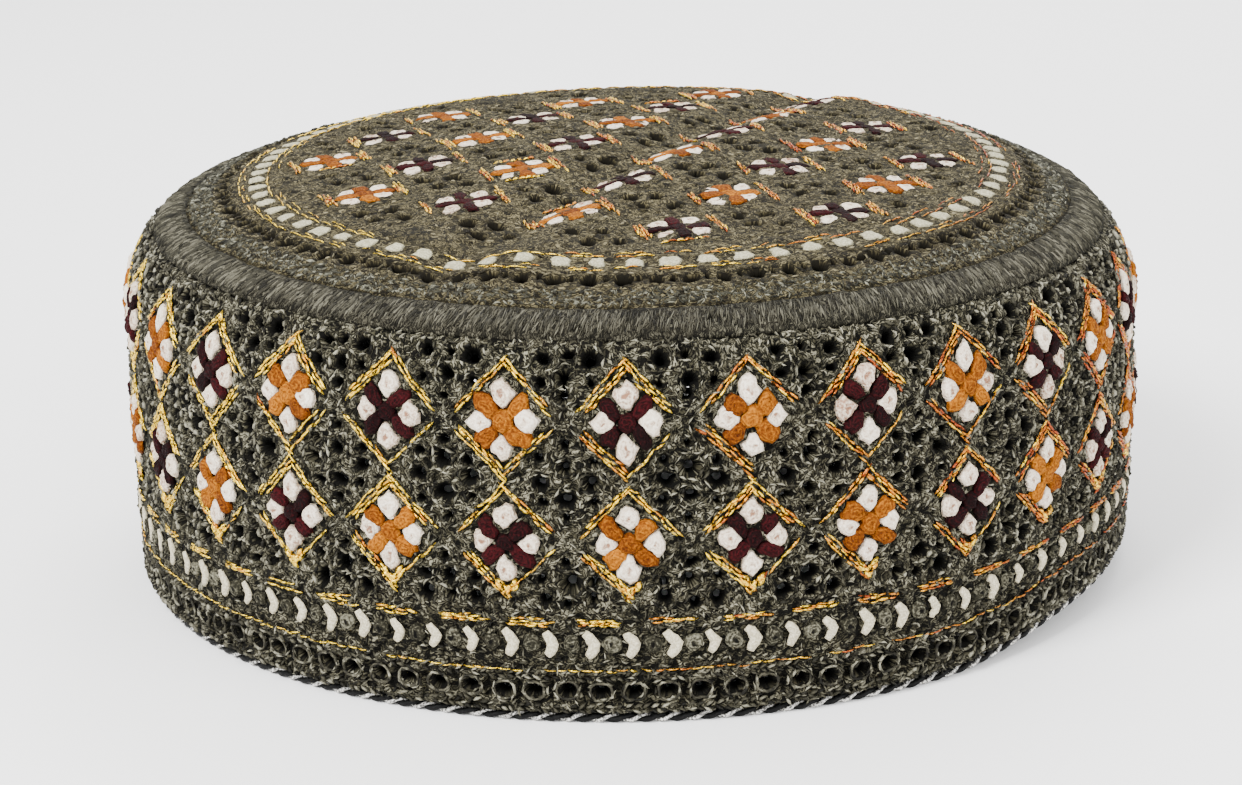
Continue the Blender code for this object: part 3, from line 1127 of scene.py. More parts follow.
class PiercedCloth:
    """What the side band and the crown share; each gives its relief, its ground tone with painted shade,
    its flow, and the painted light and shade deep inside its holes.
    """

    patch: Patch
    holes: Holes
    pits: Pits
    thick: float

    def worked(self, name: str, finish: NetThread, place: Array, quads: Array, sag: float = 0.0,
               girth: float = 0.0) -> bpy.types.Object:
        """Build the cloth with its relief outside and its holes narrowed inside.

        Args:
            name: Name of the piece.
            finish: Its finish.
            place: Flat places, already drawn to the holes' edges.
            quads: Faces with the holes cut out.
            sag: Share of the outer hollows that the inner face follows.
            girth: Distance round in millimetres, where the cloth closes on itself.

        Returns:
            The new object.
        """
        gap, which = self.holes.gaps(place)
        lift = self.relief(place, gap)
        tone = self.shade(place, gap)
        inner = self.patch.lay(self.holes.narrowed(place, gap, which),
                               np.minimum(lift, 0.0) * sag - self.thick)
        # The inner skin is painted at 0.4 of the outer tone as shade, and the drawn-in hole edges take each
        # hole's painted light and shade.
        inner_tone_painted_shade = np.where(gap > ON_EDGE, 0.4 * tone, self.hole_painted_light_and_shade()[which])
        return cloth_piece(name, finish, self.patch.lay(place, lift), inner, quads, place, self.flow(place),
                           np.concatenate((tone, inner_tone_painted_shade)), girth)

    def free_turns(self, place: Array, gap: Array, which: Array, rng: np.random.Generator,
                   spread: float, reach: float) -> tuple[Array, Array]:
        """Directions of loose stitches: round the hollows, and round the hole where one is near.

        Args:
            place: Flat place of each stitch.
            gap: Distance past the edge of the nearest hole.
            which: The nearest hole.
            rng: Source of the small differences.
            spread: Size of the differences between the hollows.
            reach: How far from a hole its stitches lie.

        Returns:
            Directions, and whether each stitch lies beside a hole.
        """
        turn = self.pits.around(place) + rng.normal(size=len(place)) * spread
        beside = (gap < reach) & (which >= 0)
        offset = place - self.holes.centre[which]
        round_hole = np.arctan2(offset[:, 1], offset[:, 0]) + QUARTER + rng.normal(size=len(place)) * 0.25
        return np.where(beside, round_hole, turn), beside


@dataclass
class SideBand(PiercedCloth):
    """Upright band of pierced cloth with the diamond net, its hem row and its stitches."""

    low: float = 2.0 * MM
    columns: int = 648
    rows: int = 72
    thick: float = 1.9 * MM
    repeats: int = 30
    first: float = 2.3 * MM
    lower_row: float = 32.6 * MM
    upper_row: float = 54.0 * MM
    meet_row: float = 43.5 * MM
    level_high: float = 20.0 * MM
    net_low: float = 20.5 * MM
    net_high: float = 64.4 * MM
    eyelets: int = 108
    eyelet_row: float = 6.2 * MM
    crescents: int = 90
    crescent_first: float = 2.2 * MM
    crescent_row: float = 14.6 * MM
    thin_line: float = 10.0 * MM
    broken_line: float = 18.6 * MM
    braid_row: float = 3.0 * MM
    braid_links: int = 400
    upper_braid_row: float = 8.9 * MM
    stitch_count: int = 25500
    ring_stitches: int = 7
    net_stitch: tuple[Range, ...] = ((0.65, 1.20), (0.16, 0.25), (0.20, 0.42))
    ring_stitch: tuple[Range, ...] = ((0.60, 1.0), (0.17, 0.27), (0.32, 0.55))
    motif: Motif = field(default_factory=Motif)
    pits: Pits = Pits(2.1 * MM, 7)
    large_holes: tuple[tuple[float, float], ...] = (
        (0.0, 46.25), (0.0, 40.75), (4.3, 43.5), (-4.3, 43.5), (0.0, 25.4), (4.3, 22.3), (-4.3, 22.3),
        (0.0, 61.4), (4.3, 64.5), (-4.3, 64.5))
    small_holes: tuple[tuple[float, float], ...] = (
        (0.0, 50.0), (0.0, 37.0), (4.4, 47.1), (-4.4, 47.1), (4.4, 39.9), (-4.4, 39.9), (0.0, 28.9),
        (4.6, 25.9), (-4.6, 25.9), (0.0, 21.8), (0.0, 57.9), (4.5, 60.7), (-4.5, 60.7), (0.0, 64.9))
    small_scale: float = 0.64

    def __post_init__(self) -> None:
        """Work out the top edge, the steps of both repeats and the holes."""
        self.patch = WALL
        self.high = FORM.along_at(FORM.seam_low_share) - 0.15 * MM
        self.pitch = WALL.girth / self.repeats
        self.eyelet_pitch = WALL.girth / self.eyelets
        self.net_holes = self.repeats * (len(self.large_holes) + len(self.small_holes))
        self.holes = self.make_holes().wrapped(WALL.girth)

    def make_holes(self) -> Holes:
        """Net holes between the diamonds, from the two tables, and the eyelets near the hem."""
        rng = np.random.default_rng(11)
        spot = np.array(self.large_holes + self.small_holes) * MM
        scale = np.where(np.arange(len(spot)) < len(self.large_holes), 1.0, self.small_scale)
        gap_middle = WALL.numbered(self.repeats, self.pitch, self.first, 0.5)
        centre = (gap_middle[:, None, None] * (1.0, 0.0) + spot).reshape(-1, 2)
        centre = centre + rng.normal(size=centre.shape) * 0.28 * MM
        half = rng.uniform(1.22, 1.72, (len(centre), 1)) * rng.uniform(0.80, 1.18, centre.shape) * MM
        half = half * np.tile(scale, self.repeats)[:, None]
        turn = rng.uniform(0.0, np.pi, len(centre))
        ring = WALL.numbered(self.eyelets, self.eyelet_pitch, 0.0, 0.5)
        hem = np.stack((ring, np.full(self.eyelets, self.eyelet_row)), axis=-1)
        hem = hem + rng.normal(size=hem.shape) * 0.14 * MM
        hem_half = np.array((1.48, 1.26)) * rng.uniform(0.86, 1.10, hem.shape) * MM
        return Holes(np.concatenate((centre, hem)), np.concatenate((half, hem_half)),
                     np.concatenate((turn, np.zeros(len(hem)))), 12)

    def offsets(self, place: Array) -> tuple[Array, Array, Array]:
        """Place within the nearest diamond of the repeat, and how far out in it."""
        x = nearest(place[:, 0] - self.first, self.pitch)
        upper = place[:, 1] > self.meet_row
        y = place[:, 1] - np.where(upper, self.upper_row, self.lower_row)
        return x, y, self.motif.measure(x, y)

    def relief(self, place: Array, gap: Array) -> Array:
        """Height of the worked face over the plain form.

        It is the sum of a soft noise, a slit between the eyelets, a lip round each hole, the
        diamonds' padding, ridges under the braids and the gold line, and a groove at the seam.
        """
        s = place[:, 1]
        noise = 0.10 * MM * ripple(WALL.face(place), 4.0 * MM, 14, 5)
        lift = noise - 0.10 * MM - 0.42 * MM * self.pits.depth(place)
        slit = hill(nearest(place[:, 0], self.eyelet_pitch), 0.50 * MM)
        lift = lift - 1.10 * MM * slit * np.clip(hill(s - self.eyelet_row, 1.9 * MM) * 1.6, 0.0, 1.0)
        lift = lift + 0.32 * MM * edge_lip(gap)
        lift = lift + self.motif.relief(self.offsets(place)[2]) * (s > self.broken_line + 2.0 * MM)
        for row, tall, wide in ((self.braid_row, 0.40, 1.1), (self.upper_braid_row, 0.25, 1.0),
                                (self.broken_line, 0.25, 1.0), (self.high, -0.25, 0.7)):
            lift = lift + tall * MM * hill(s - row, wide * MM)
        return lift

    def shade(self, place: Array, gap: Array) -> Array:
        """Tone of the ground with painted shade: dark in the hollows, beside the holes, in the slits
        between the eyelets, round the crescent row, inside the diamonds under the knots, along their
        borders and in the groove below the seam; darker in the hem band, light elsewhere.
        """
        s = place[:, 1]
        measure = self.offsets(place)[2]
        in_net = (s > self.net_low) & (s < self.high - 3.0 * MM)
        # Painted shade beside the holes and in the hollows.
        tone = 0.82 - 0.46 * hill(np.clip(gap, 0.0, None), 0.42 * MM) - 0.66 * self.pits.depth(place)
        # Painted shade round the crescent row, between the crescents and the coil knots.
        tone = tone - 0.35 * hill(s - self.crescent_row, 1.9 * MM)
        # Painted shade in the slit grooves between the eyelets.
        slit = hill(nearest(place[:, 0], self.eyelet_pitch), 0.55 * MM)
        tone = tone - 0.9 * slit * hill(s - self.eyelet_row, 1.7 * MM)
        # Painted shade inside the diamonds under the knots and along the gold borders.
        tone = tone - 0.25 * in_net * np.clip((0.80 - measure) / 0.12, 0.0, 1.0)
        tone = tone - 0.25 * in_net * hill(measure - 0.90, 0.11)
        # Painted shade in the groove below the seam.
        tone = tone - 0.25 * hill(s - self.high, 0.8 * MM)
        return np.clip(tone - 0.22 * (s < self.level_high), 0.0, 1.0)

    def flow(self, place: Array) -> Array:
        """Set direction of the threads: along the borders and level in the hem, else free."""
        x, y, measure = self.offsets(place)
        border = hill(measure - 0.92, 0.09) * (place[:, 1] > self.net_low)
        slope = np.stack((np.ones(len(x)), -np.sign(x) * np.sign(y)), axis=-1) / np.sqrt(2.0)
        level = place[:, 1] < self.level_high
        heading = slope * border[:, None] + np.stack((0.7 * level, 0.0 * level), axis=-1)
        return np.concatenate((heading, np.zeros((len(x), 1))), axis=1)

    def hole_painted_light_and_shade(self) -> Array:
        """Painted tone deep inside each hole: painted light, a dim brown, in a quarter of the net holes,
        painted shadow, black, in the others, and dim painted shade in the eyelets.
        """
        painted_lit = np.random.default_rng(13).uniform(size=len(self.holes.centre)) < 0.25
        # Painted light in the lit holes, painted shadow in the others; the eyelets get dim painted shade.
        tones = np.where(painted_lit, 0.35, -1.2)
        tones[self.net_holes:self.net_holes + self.eyelets] = -0.2
        return tones

    def cloth(self) -> None:
        """Pierced cloth as one closed grid.  Columns run round and rows run up."""
        place, quads = wall_grid(self.columns, self.rows, self.low, self.high)
        middle = place[quads[:, 0]] + 0.5 * (place[self.columns + 1] - place[0])
        place, quads = self.holes.pierced(place, quads, middle)
        item = self.worked("side_band_cloth", NET_CLOTH, place, quads, 0.3, WALL.girth / MM)
        claim(item, "side_band", "side_band")

    def stitches(self) -> None:
        """Loose net stitches: round the holes, along the borders, level in the hem, else free."""
        rng = np.random.default_rng(21)
        shape = Shape()
        half_girth = 0.5 * WALL.girth
        place = rng.uniform((-half_girth, self.low), (half_girth, self.high), (self.stitch_count, 2))
        gap, which = self.holes.gaps(place)
        x, y, measure = self.offsets(place)
        net = (place[:, 1] > self.net_low) & (place[:, 1] < self.net_high)
        slit = np.abs(nearest(place[:, 0], self.eyelet_pitch)) < 0.75 * MM
        slit = slit & (np.abs(place[:, 1] - self.eyelet_row) < 1.7 * MM)
        depth = self.pits.depth(place)
        keep = (gap > 0.20 * MM) & ~(net & (measure < 0.58)) & ~slit
        keep &= depth < rng.uniform(0.12, 0.75, len(place))
        keep &= (np.abs(place[:, 1] - self.crescent_row) > 1.7 * MM) | (rng.uniform(size=len(place)) < 0.5)
        place, gap, which, x, y, measure, net, depth = (
            part[keep] for part in (place, gap, which, x, y, measure, net, depth))
        count = len(place)
        turn, beside = self.free_turns(place, gap, which, rng, 0.35, 1.1 * MM)
        border = net & (np.abs(measure - 0.90) < 0.12) & ~beside
        slope = -np.sign(x) * np.sign(y) * 0.5 * QUARTER + rng.normal(size=count) * 0.22
        turn = np.where(border, slope, turn)
        level = (place[:, 1] < self.net_low) & ~beside
        turn = np.where(level & (rng.uniform(size=count) < 0.45), rng.normal(size=count) * 0.4, turn)
        size = stitch_sizes(rng, count, self.net_stitch)
        # Each stitch's random tone, with painted shade in the hollows and darker in the hem band.
        tone = rng.beta(1.15, 1.5, count) + 0.05 - 0.45 * depth - 0.06 * (place[:, 1] < self.level_high)
        bend = rng.normal(size=count) * 0.30 * MM
        strokes(shape, WALL, place, turn, size, self.relief(place, gap), np.clip(tone, 0.0, 1.0), bend)
        self.hole_rings(shape, rng)
        claim(shape.build("net_stitches", NET_STITCH.make()), "side_band")

    def hole_rings(self, shape: Shape, rng: np.random.Generator) -> None:
        """Stitches laid round the edge of every hole, standing proud of the cloth."""
        holes = self.net_holes + self.eyelets
        centre, half = self.holes.centre[:holes], self.holes.half[:holes]
        number = np.arange(self.ring_stitches) + rng.uniform(0.0, 1.0, (holes, 1))
        bearing = FULL_TURN * number / self.ring_stitches
        mean_half = half.mean(axis=1)
        out = 1.0 + rng.uniform(0.25, 0.55, bearing.shape) * MM / mean_half[:, None]
        offset = turned(half[:, :1] * out * np.cos(bearing), half[:, 1:] * out * np.sin(bearing),
                        self.holes.turn[:holes])
        place = (centre[:, None, :] + offset).reshape(-1, 2)
        turn = np.arctan2(offset[..., 1], offset[..., 0]).ravel() + QUARTER
        count = len(place)
        size = stitch_sizes(rng, count, self.ring_stitch)
        size = size * np.repeat(np.clip(mean_half / (1.3 * MM), 0.75, 1.2), self.ring_stitches)[:, None]
        tone = rng.beta(1.2, 1.3, count)
        gap, _ = self.holes.gaps(place)
        turn = turn + rng.normal(size=count) * 0.22
        strokes(shape, WALL, place, turn, size, self.relief(place, gap), tone, -0.22 * MM)

    def braid(self) -> None:
        """Chain stitches along the hem, as slanting pairs, and a thread ring round each eyelet."""
        rng = np.random.default_rng(31)
        shape = Shape()
        links = self.braid_links
        for row, base in ((self.braid_row, 0.28 * MM), (self.upper_braid_row, 0.12 * MM)):
            for side in (-1.0, 1.0):
                u = WALL.evenly(links) + rng.normal(size=links) * 0.18 * MM
                place = np.stack((u, row + side * 0.48 * MM + rng.normal(size=links) * 0.12 * MM), axis=-1)
                size = np.tile((0.95, 0.30, 0.42), (links, 1)) * MM * rng.uniform(0.8, 1.2, (links, 3))
                turn = side * 0.50 + rng.normal(size=links) * 0.22
                strokes(shape, WALL, place, turn, size, base, rng.beta(1.1, 1.9, links))
        self.eyelet_rings(shape, rng)
        claim(shape.build("hem_braid", BRAID_STITCH.make()), "side_band")

    def eyelet_rings(self, shape: Shape, rng: np.random.Generator) -> None:
        """A thread ring of uneven thickness round each eyelet, between an oval and a block."""
        power, corners = 2.8, 12
        part = FULL_TURN * np.arange(corners) / corners
        centre = self.holes.centre[self.net_holes:self.net_holes + self.eyelets]
        square = (np.abs(np.cos(part)) ** power + np.abs(np.sin(part)) ** power) ** (-1.0 / power)
        reach = rng.uniform(0.90, 1.08, (self.eyelets, corners)) * square
        ring = np.stack((1.86 * reach * np.cos(part), 1.64 * reach * np.sin(part)), axis=-1) * MM
        radius = rng.uniform(0.14, 0.30, reach.shape) * MM
        lift = rng.uniform(0.10, 0.32, reach.shape) * MM
        laid_tubes(shape, WALL, centre[:, None, :] + ring, lift, radius, 5, True,
                   shade=rng.beta(1.2, 2.0, reach.shape))

    def crescent_band(self) -> None:
        """White crescents along the hem and the round knots between them."""
        rng = np.random.default_rng(41)
        count = self.crescents
        step = WALL.girth / count
        u = WALL.numbered(count, step, self.crescent_first)
        part = np.linspace(-1.0, 1.0, 7)
        up = 2.00 * MM * part
        bow = (0.70 - 0.25 * part - 1.30 * np.abs(part) ** 1.25) * MM
        radius = (0.98 - 0.36 * np.abs(part) ** 1.6) * MM
        scale = rng.uniform(0.88, 1.10, (count, 1))
        path = np.stack((u[:, None] + bow * scale, self.crescent_row + up * scale), axis=-1)
        path = path + rng.normal(size=path.shape) * 0.08 * MM
        shape = Shape()
        laid_tubes(shape, WALL, path, np.full(path.shape[:2], 0.15 * MM), radius * scale, 8, flat=0.55)
        claim(shape.build("hem_crescents", CRESCENT_COTTON.make()))
        centre = np.stack((u + 0.5 * step + 0.35 * MM, np.full(count, self.crescent_row)), axis=-1)
        size = np.tile((1.65, 1.60, 0.78), (count, 1)) * MM * rng.uniform(0.9, 1.1, (count, 3))
        shape = Shape()
        knots(shape, WALL, centre, rng.uniform(0.0, np.pi, count), size, 0.0, 0.0, 42,
              tone=rng.uniform(0.3, 0.7, count))
        claim(shape.build("hem_coils", COIL_THREAD.make()), "side_band")


@dataclass
class CrownDisc(PiercedCloth):
    """Embroidered disc that closes the top."""

    pitch: float = 0.84 * MM
    thick: float = 1.9 * MM
    repeat: float = 21.2 * MM
    turn_first: float = -25.0
    turn_second: float = 64.7
    start: tuple[float, float] = (-47.3 * MM, -27.2 * MM)
    field_share: float = 0.700
    diamond_share: float = 0.66
    dash_share: float = 0.744
    dashes: int = 75
    eyelet_share: float = 0.813
    eyelets: int = 85
    ring_shift: float = 0.012
    stitch_count: int = 10500
    ring_stitches: int = 4200
    stitch: tuple[Range, ...] = ((0.50, 1.05), (0.12, 0.20), (0.10, 0.22))
    raised_rings: tuple[float, ...] = (0.712, 0.765, 0.785, 0.835, 0.860, 0.880)
    dark_rings: tuple[float, ...] = (0.766, 0.783, 0.838, 0.852)
    motif: Motif = field(default_factory=lambda: Motif(10.6 * MM, 10.6 * MM, 0.30 * MM))
    pits: Pits = Pits(2.6 * MM, 8)

    def __post_init__(self) -> None:
        """Work out the lattice directions and the holes."""
        self.patch = TOP
        first, second = np.radians(self.turn_first), np.radians(self.turn_second)
        self.axes = np.array(((np.cos(first), np.sin(first)), (np.cos(second), np.sin(second))))
        self.holes = self.make_holes()

    def lattice(self, shift: float) -> tuple[Array, Array]:
        """Lattice points near the crown, with the sum of their two numbers."""
        span = np.arange(-6, 10) + shift
        first, second = (part.ravel() for part in np.meshgrid(span, span))
        steps = first[:, None] * self.axes[0] + second[:, None] * self.axes[1]
        return np.array(self.start) + self.repeat * steps, np.round(first + second).astype(int)

    def ring_along(self, share: float, u: Array) -> Array:
        """Distance along the meridian of a ring that is set back a little from the front."""
        return FORM.along_at(share - self.ring_shift * np.cos(u / FORM.mean_half))

    def make_holes(self) -> Holes:
        """Net holes between the diamonds, the eyelets of the ring and the slits between them."""
        rng = np.random.default_rng(51)
        middles, _ = self.lattice(0.5)
        across, up = 4.4 * MM, 2.9 * MM
        spots = np.array(((0.0, up), (0.0, -up), (across, 0.0), (-across, 0.0))) @ self.axes
        centre = (middles[:, None, :] + spots).reshape(-1, 2)
        centre = centre + rng.normal(size=centre.shape) * 0.25 * MM
        centre = centre[TOP.share(centre) < self.field_share - 0.02]
        half = rng.uniform(1.25, 1.75, (len(centre), 1)) * rng.uniform(0.84, 1.16, centre.shape) * MM
        turn = rng.uniform(0.0, np.pi, len(centre))
        number = np.arange(2 * self.eyelets)
        bearing = FULL_TURN * number / (2 * self.eyelets)
        is_slit = number % 2 == 1
        share = self.eyelet_share + self.ring_shift * np.sin(bearing) - 0.006 * is_slit
        ring = TOP.radial(bearing) * share[:, None]
        size = np.where(is_slit[:, None], (0.55, 1.05), (1.60, 1.45))
        ring_half = size * rng.uniform(0.85, 1.1, ring.shape) * MM
        return Holes(np.concatenate((centre, ring)), np.concatenate((half, ring_half)),
                     np.concatenate((turn, bearing + QUARTER)), 52)

    def offsets(self, place: Array) -> tuple[Array, Array, Array]:
        """Place within the nearest diamond of the lattice, and how far out in it."""
        number = (place - self.start) @ np.linalg.inv(self.axes * self.repeat)
        local = (number - np.round(number)) * self.repeat
        return local[:, 0], local[:, 1], self.motif.measure(local[:, 0], local[:, 1])

    def relief(self, place: Array, gap: Array) -> Array:
        """Height of the worked face over the plain form, as on the side band but softer."""
        share = TOP.share(place)
        noise = 0.09 * MM * ripple(TOP.face(place), 5.0 * MM, 14, 61)
        lift = noise + 0.05 * MM - 0.16 * MM * self.pits.depth(place)
        lift = lift + 0.26 * MM * edge_lip(gap)
        lift = lift + self.motif.relief(self.offsets(place)[2]) * (share < self.field_share)
        for ring_share in self.raised_rings:
            lift = lift + 0.16 * MM * hill((share - ring_share) * FORM.mean_half, 0.7 * MM)
        return lift - 0.45 * MM * hill((share - FORM.seam_high_share) * FORM.mean_half, 0.8 * MM)

    def shade(self, place: Array, gap: Array) -> Array:
        """Tone of the ground with painted shade: darker beside the holes, in the hollows, inside the
        diamonds under the knots and in the groove at the seam, and darker along four thin rings.
        """
        measure = self.offsets(place)[2]
        share = TOP.share(place)
        # Painted shade beside the holes and in the hollows.
        tone = 0.86 - 0.42 * hill(np.clip(gap, 0.0, None), 0.4 * MM) - 0.30 * self.pits.depth(place)
        # Painted shade inside the diamonds under the knots.
        tone = tone - 0.25 * (share < self.field_share) * np.clip((0.75 - measure) / 0.15, 0.0, 1.0)
        # Painted shade in the groove at the seam.
        tone = tone - 0.5 * hill((share - FORM.seam_high_share) * FORM.mean_half, 0.9 * MM)
        for ring_share in self.dark_rings:
            tone = tone - 0.22 * hill((share - ring_share) * FORM.mean_half, 0.35 * MM)
        return np.clip(tone, 0.0, 1.0)

    def flow(self, place: Array) -> Array:
        """Set direction of the threads: round the crown in the ring, along the borders inside."""
        x, y, measure = self.offsets(place)
        inside = TOP.share(place) < self.field_share
        border = hill(measure - 0.92, 0.09) * inside
        slope = (self.axes[0] - (np.sign(x) * np.sign(y))[:, None] * self.axes[1]) / np.sqrt(2.0)
        bearing = np.arctan2(place[:, 1], place[:, 0])
        around = np.stack((-np.sin(bearing), np.cos(bearing)), axis=-1)
        heading = slope * border[:, None] + around * (~inside)[:, None]
        return np.concatenate((heading, np.zeros((len(x), 1))), axis=1)

    def hole_painted_light_and_shade(self) -> Array:
        """Painted tone deep inside each hole: black, as painted shadow."""
        return np.full(len(self.holes.centre), -1.2)

    def cloth(self) -> None:
        """Crown cloth as one closed square grid trimmed to the oval."""
        edge = FORM.seam_high_share
        reach = FORM.half_depth * edge + self.pitch
        line = np.arange(-reach, reach + self.pitch, self.pitch)
        place = np.stack(np.meshgrid(line, line), axis=-1).reshape(-1, 2)
        number = np.arange(len(place)).reshape(len(line), len(line))
        quads = np.stack((number[:-1, :-1], number[:-1, 1:], number[1:, 1:], number[1:, :-1]), axis=-1)
        quads = quads.reshape(-1, 4)
        middle = place[quads].mean(axis=1)
        outside = TOP.share(middle) > edge - 0.3 * self.pitch / FORM.mean_half
        trimmed = np.intersect1d(quads[outside], quads[~outside])
        place[trimmed] *= (edge / TOP.share(place[trimmed]))[:, None]
        place, quads = self.holes.pierced(place, quads[~outside], middle[~outside], trimmed)
        item = self.worked("crown_cloth", CROWN_CLOTH, place, quads)
        claim(item, "crown", "crown")

    def stitches(self) -> None:
        """Loose stitches of the crown: round the holes, along the borders and round the ring."""
        rng = np.random.default_rng(71)
        edge = FORM.seam_high_share
        reach = FORM.half_depth * edge
        place = rng.uniform(-reach, reach, (int(self.stitch_count * 1.3), 2))
        radial = TOP.radial(rng.uniform(0.0, FULL_TURN, self.ring_stitches))
        ring = radial * rng.uniform(self.eyelet_share + 0.018, edge - 0.010, (len(radial), 1))
        place = np.concatenate((place, ring))
        share = TOP.share(place)
        gap, which = self.holes.gaps(place)
        x, y, measure = self.offsets(place)
        inside = share < self.field_share
        keep = (gap > 0.25 * MM) & (share < edge - 0.008) & ~(inside & (measure < 0.62))
        place, share, gap, which, x, y, measure, inside = (
            part[keep] for part in (place, share, gap, which, x, y, measure, inside))
        count = len(place)
        turn, beside = self.free_turns(place, gap, which, rng, 0.4, 0.9 * MM)
        border = inside & (np.abs(measure - 0.92) < 0.10) & ~beside
        slope = np.radians(self.turn_first) - np.sign(x) * np.sign(y) * 0.5 * QUARTER
        turn = np.where(border, slope + rng.normal(size=count) * 0.18, turn)
        outer = share > self.eyelet_share + 0.015
        around = np.arctan2(place[:, 1], place[:, 0]) + QUARTER + rng.normal(size=count) * 0.3
        turn = np.where(~inside & ~beside & ~outer, around, turn)
        size = stitch_sizes(rng, count, self.stitch)
        size[outer] *= (1.0, 1.15, 1.4)
        # Each stitch's random tone, with painted shade in the hollows.
        tone = np.clip(rng.beta(1.5, 2.2, count) + 0.05 - 0.25 * self.pits.depth(place), 0.0, 1.0)
        lift = self.relief(place, gap)
        bend = rng.normal(size=count) * 0.16 * MM
        for name, chosen, finish in (("crown_stitches", ~outer, CROWN_STITCH),
                                     ("ring_stitches", outer, RING_STITCH)):
            shape = Shape()
            strokes(shape, TOP, *(part[chosen] for part in (place, turn, size, lift, tone, bend)))
            claim(shape.build(name, finish.make()), "crown")

    def dash_ring(self) -> None:
        """Cream blocks round the crown, narrower towards its middle."""
        rng = np.random.default_rng(81)
        count = self.dashes
        bearing = FULL_TURN * (np.arange(count) / count - 0.5)
        u = (bearing + 0.07 * np.sin(bearing)) * FORM.mean_half
        place = np.stack((u, self.ring_along(self.dash_share, u)), axis=-1)
        place = place + rng.normal(size=place.shape) * 0.15 * MM
        size = np.array((1.80, 1.72, 0.30)) * MM * rng.uniform(0.86, 1.12, (count, 3))
        turn = QUARTER + rng.normal(size=count) * 0.10
        shape = Shape()
        knots(shape, WALL, place, turn, size, 0.10 * MM, -0.14, 82, 5.0,
              tone=rng.uniform(0.35, 0.65, count))
        claim(shape.build("crown_dashes", DASH_COTTON.make()))


@dataclass
class SeamBand:
    """Satin stitched band over the shoulder between the side band and the crown."""

    proud: float = 0.25 * MM
    thick: float = 1.9 * MM
    cut_width: float = 10.0 * MM
    overlap: float = 0.1 * MM
    columns: int = 900
    rows: int = 13
    stitches: int = 5200
    stitch: tuple[Range, ...] = ((0.13, 0.21), (0.18, 0.36))
    thread_flow: tuple[float, float, float] = (0.25, 0.97, 0.0)
    tone: float = 0.55

    def __post_init__(self) -> None:
        """Work out where the band starts and ends along the meridian."""
        self.low = FORM.along_at(FORM.seam_low_share)
        self.high = FORM.along_at(FORM.seam_high_share)

    def relief(self, place: Array) -> Array:
        """Roll of the band: round across, with a soft noise along it."""
        part = (place[..., 1] - self.low) / (self.high - self.low)
        rolled = np.sqrt(np.clip(1.0 - (2.0 * part - 1.0) ** 4, 0.0, 1.0))
        return self.proud * rolled - 0.15 * MM + 0.09 * MM * ripple(WALL.face(place), 3.0 * MM, 12, 91)

    def cloth(self) -> None:
        """Band under the stitches as one closed grid."""
        place, quads = wall_grid(self.columns, self.rows, self.low - self.overlap, self.high + self.overlap)
        outer, inner = WALL.lay(place, self.relief(place)), WALL.lay(place, -self.thick)
        flow, tone = np.tile(self.thread_flow, (len(place), 1)), np.full(2 * len(place), self.tone)
        item = cloth_piece("seam_band_cloth", SEAM_CLOTH, outer, inner, quads, place, flow, tone,
                           WALL.girth / MM)
        claim(item, "seam_band", "seam_band")

    def satin(self) -> None:
        """Near upright satin stitches, crowded side by side over the roll."""
        rng = np.random.default_rng(95)
        count = self.stitches
        u = rng.uniform(-0.5, 0.5, count) * WALL.girth
        half = rng.uniform(1.0, 2.5, count) * MM
        room = np.clip(0.5 * (self.high - self.low) - half + 0.3 * MM, 0.0, None)
        s = 0.5 * (self.low + self.high) + rng.uniform(-1.0, 1.0, count) * room
        place = np.stack((u, s), axis=-1)
        turn = QUARTER - rng.normal(0.16, 0.13, count)
        size = stitch_sizes(rng, count, self.stitch)
        size = np.concatenate((half[:, None], size), axis=1)
        shape = Shape()
        strokes(shape, WALL, place, turn, size, self.relief(place), rng.beta(1.8, 1.9, count),
                rng.normal(size=count) * 0.20 * MM)
        claim(shape.build("seam_satin", SATIN_STITCH.make()), "seam_band")


@dataclass(frozen=True)
class Diamonds:
    """Diamonds of one cloth: which have orange arms, their turn, and the size of their knots."""

    number: int
    patch: Patch
    centre: Array
    orange: Array
    turn: float
    motif: Motif
    wide: float
    tall: float

    @property
    def spin(self) -> Array:
        """Matrix that turns offsets, one in each row, by the angle of the diamonds."""
        cosine, sine = np.cos(self.turn), np.sin(self.turn)
        return np.array(((cosine, sine), (-sine, cosine)))

    def around(self, centre: Array, bearing: Array, out: tuple[float, float]) -> Array:
        """Places at four bearings round each centre, out by two half sizes in millimetres."""
        offset = np.stack((np.cos(bearing) * out[0], np.sin(bearing) * out[1]), axis=-1) * MM
        return (centre[:, None, :] + offset @ self.spin).reshape(-1, 2)


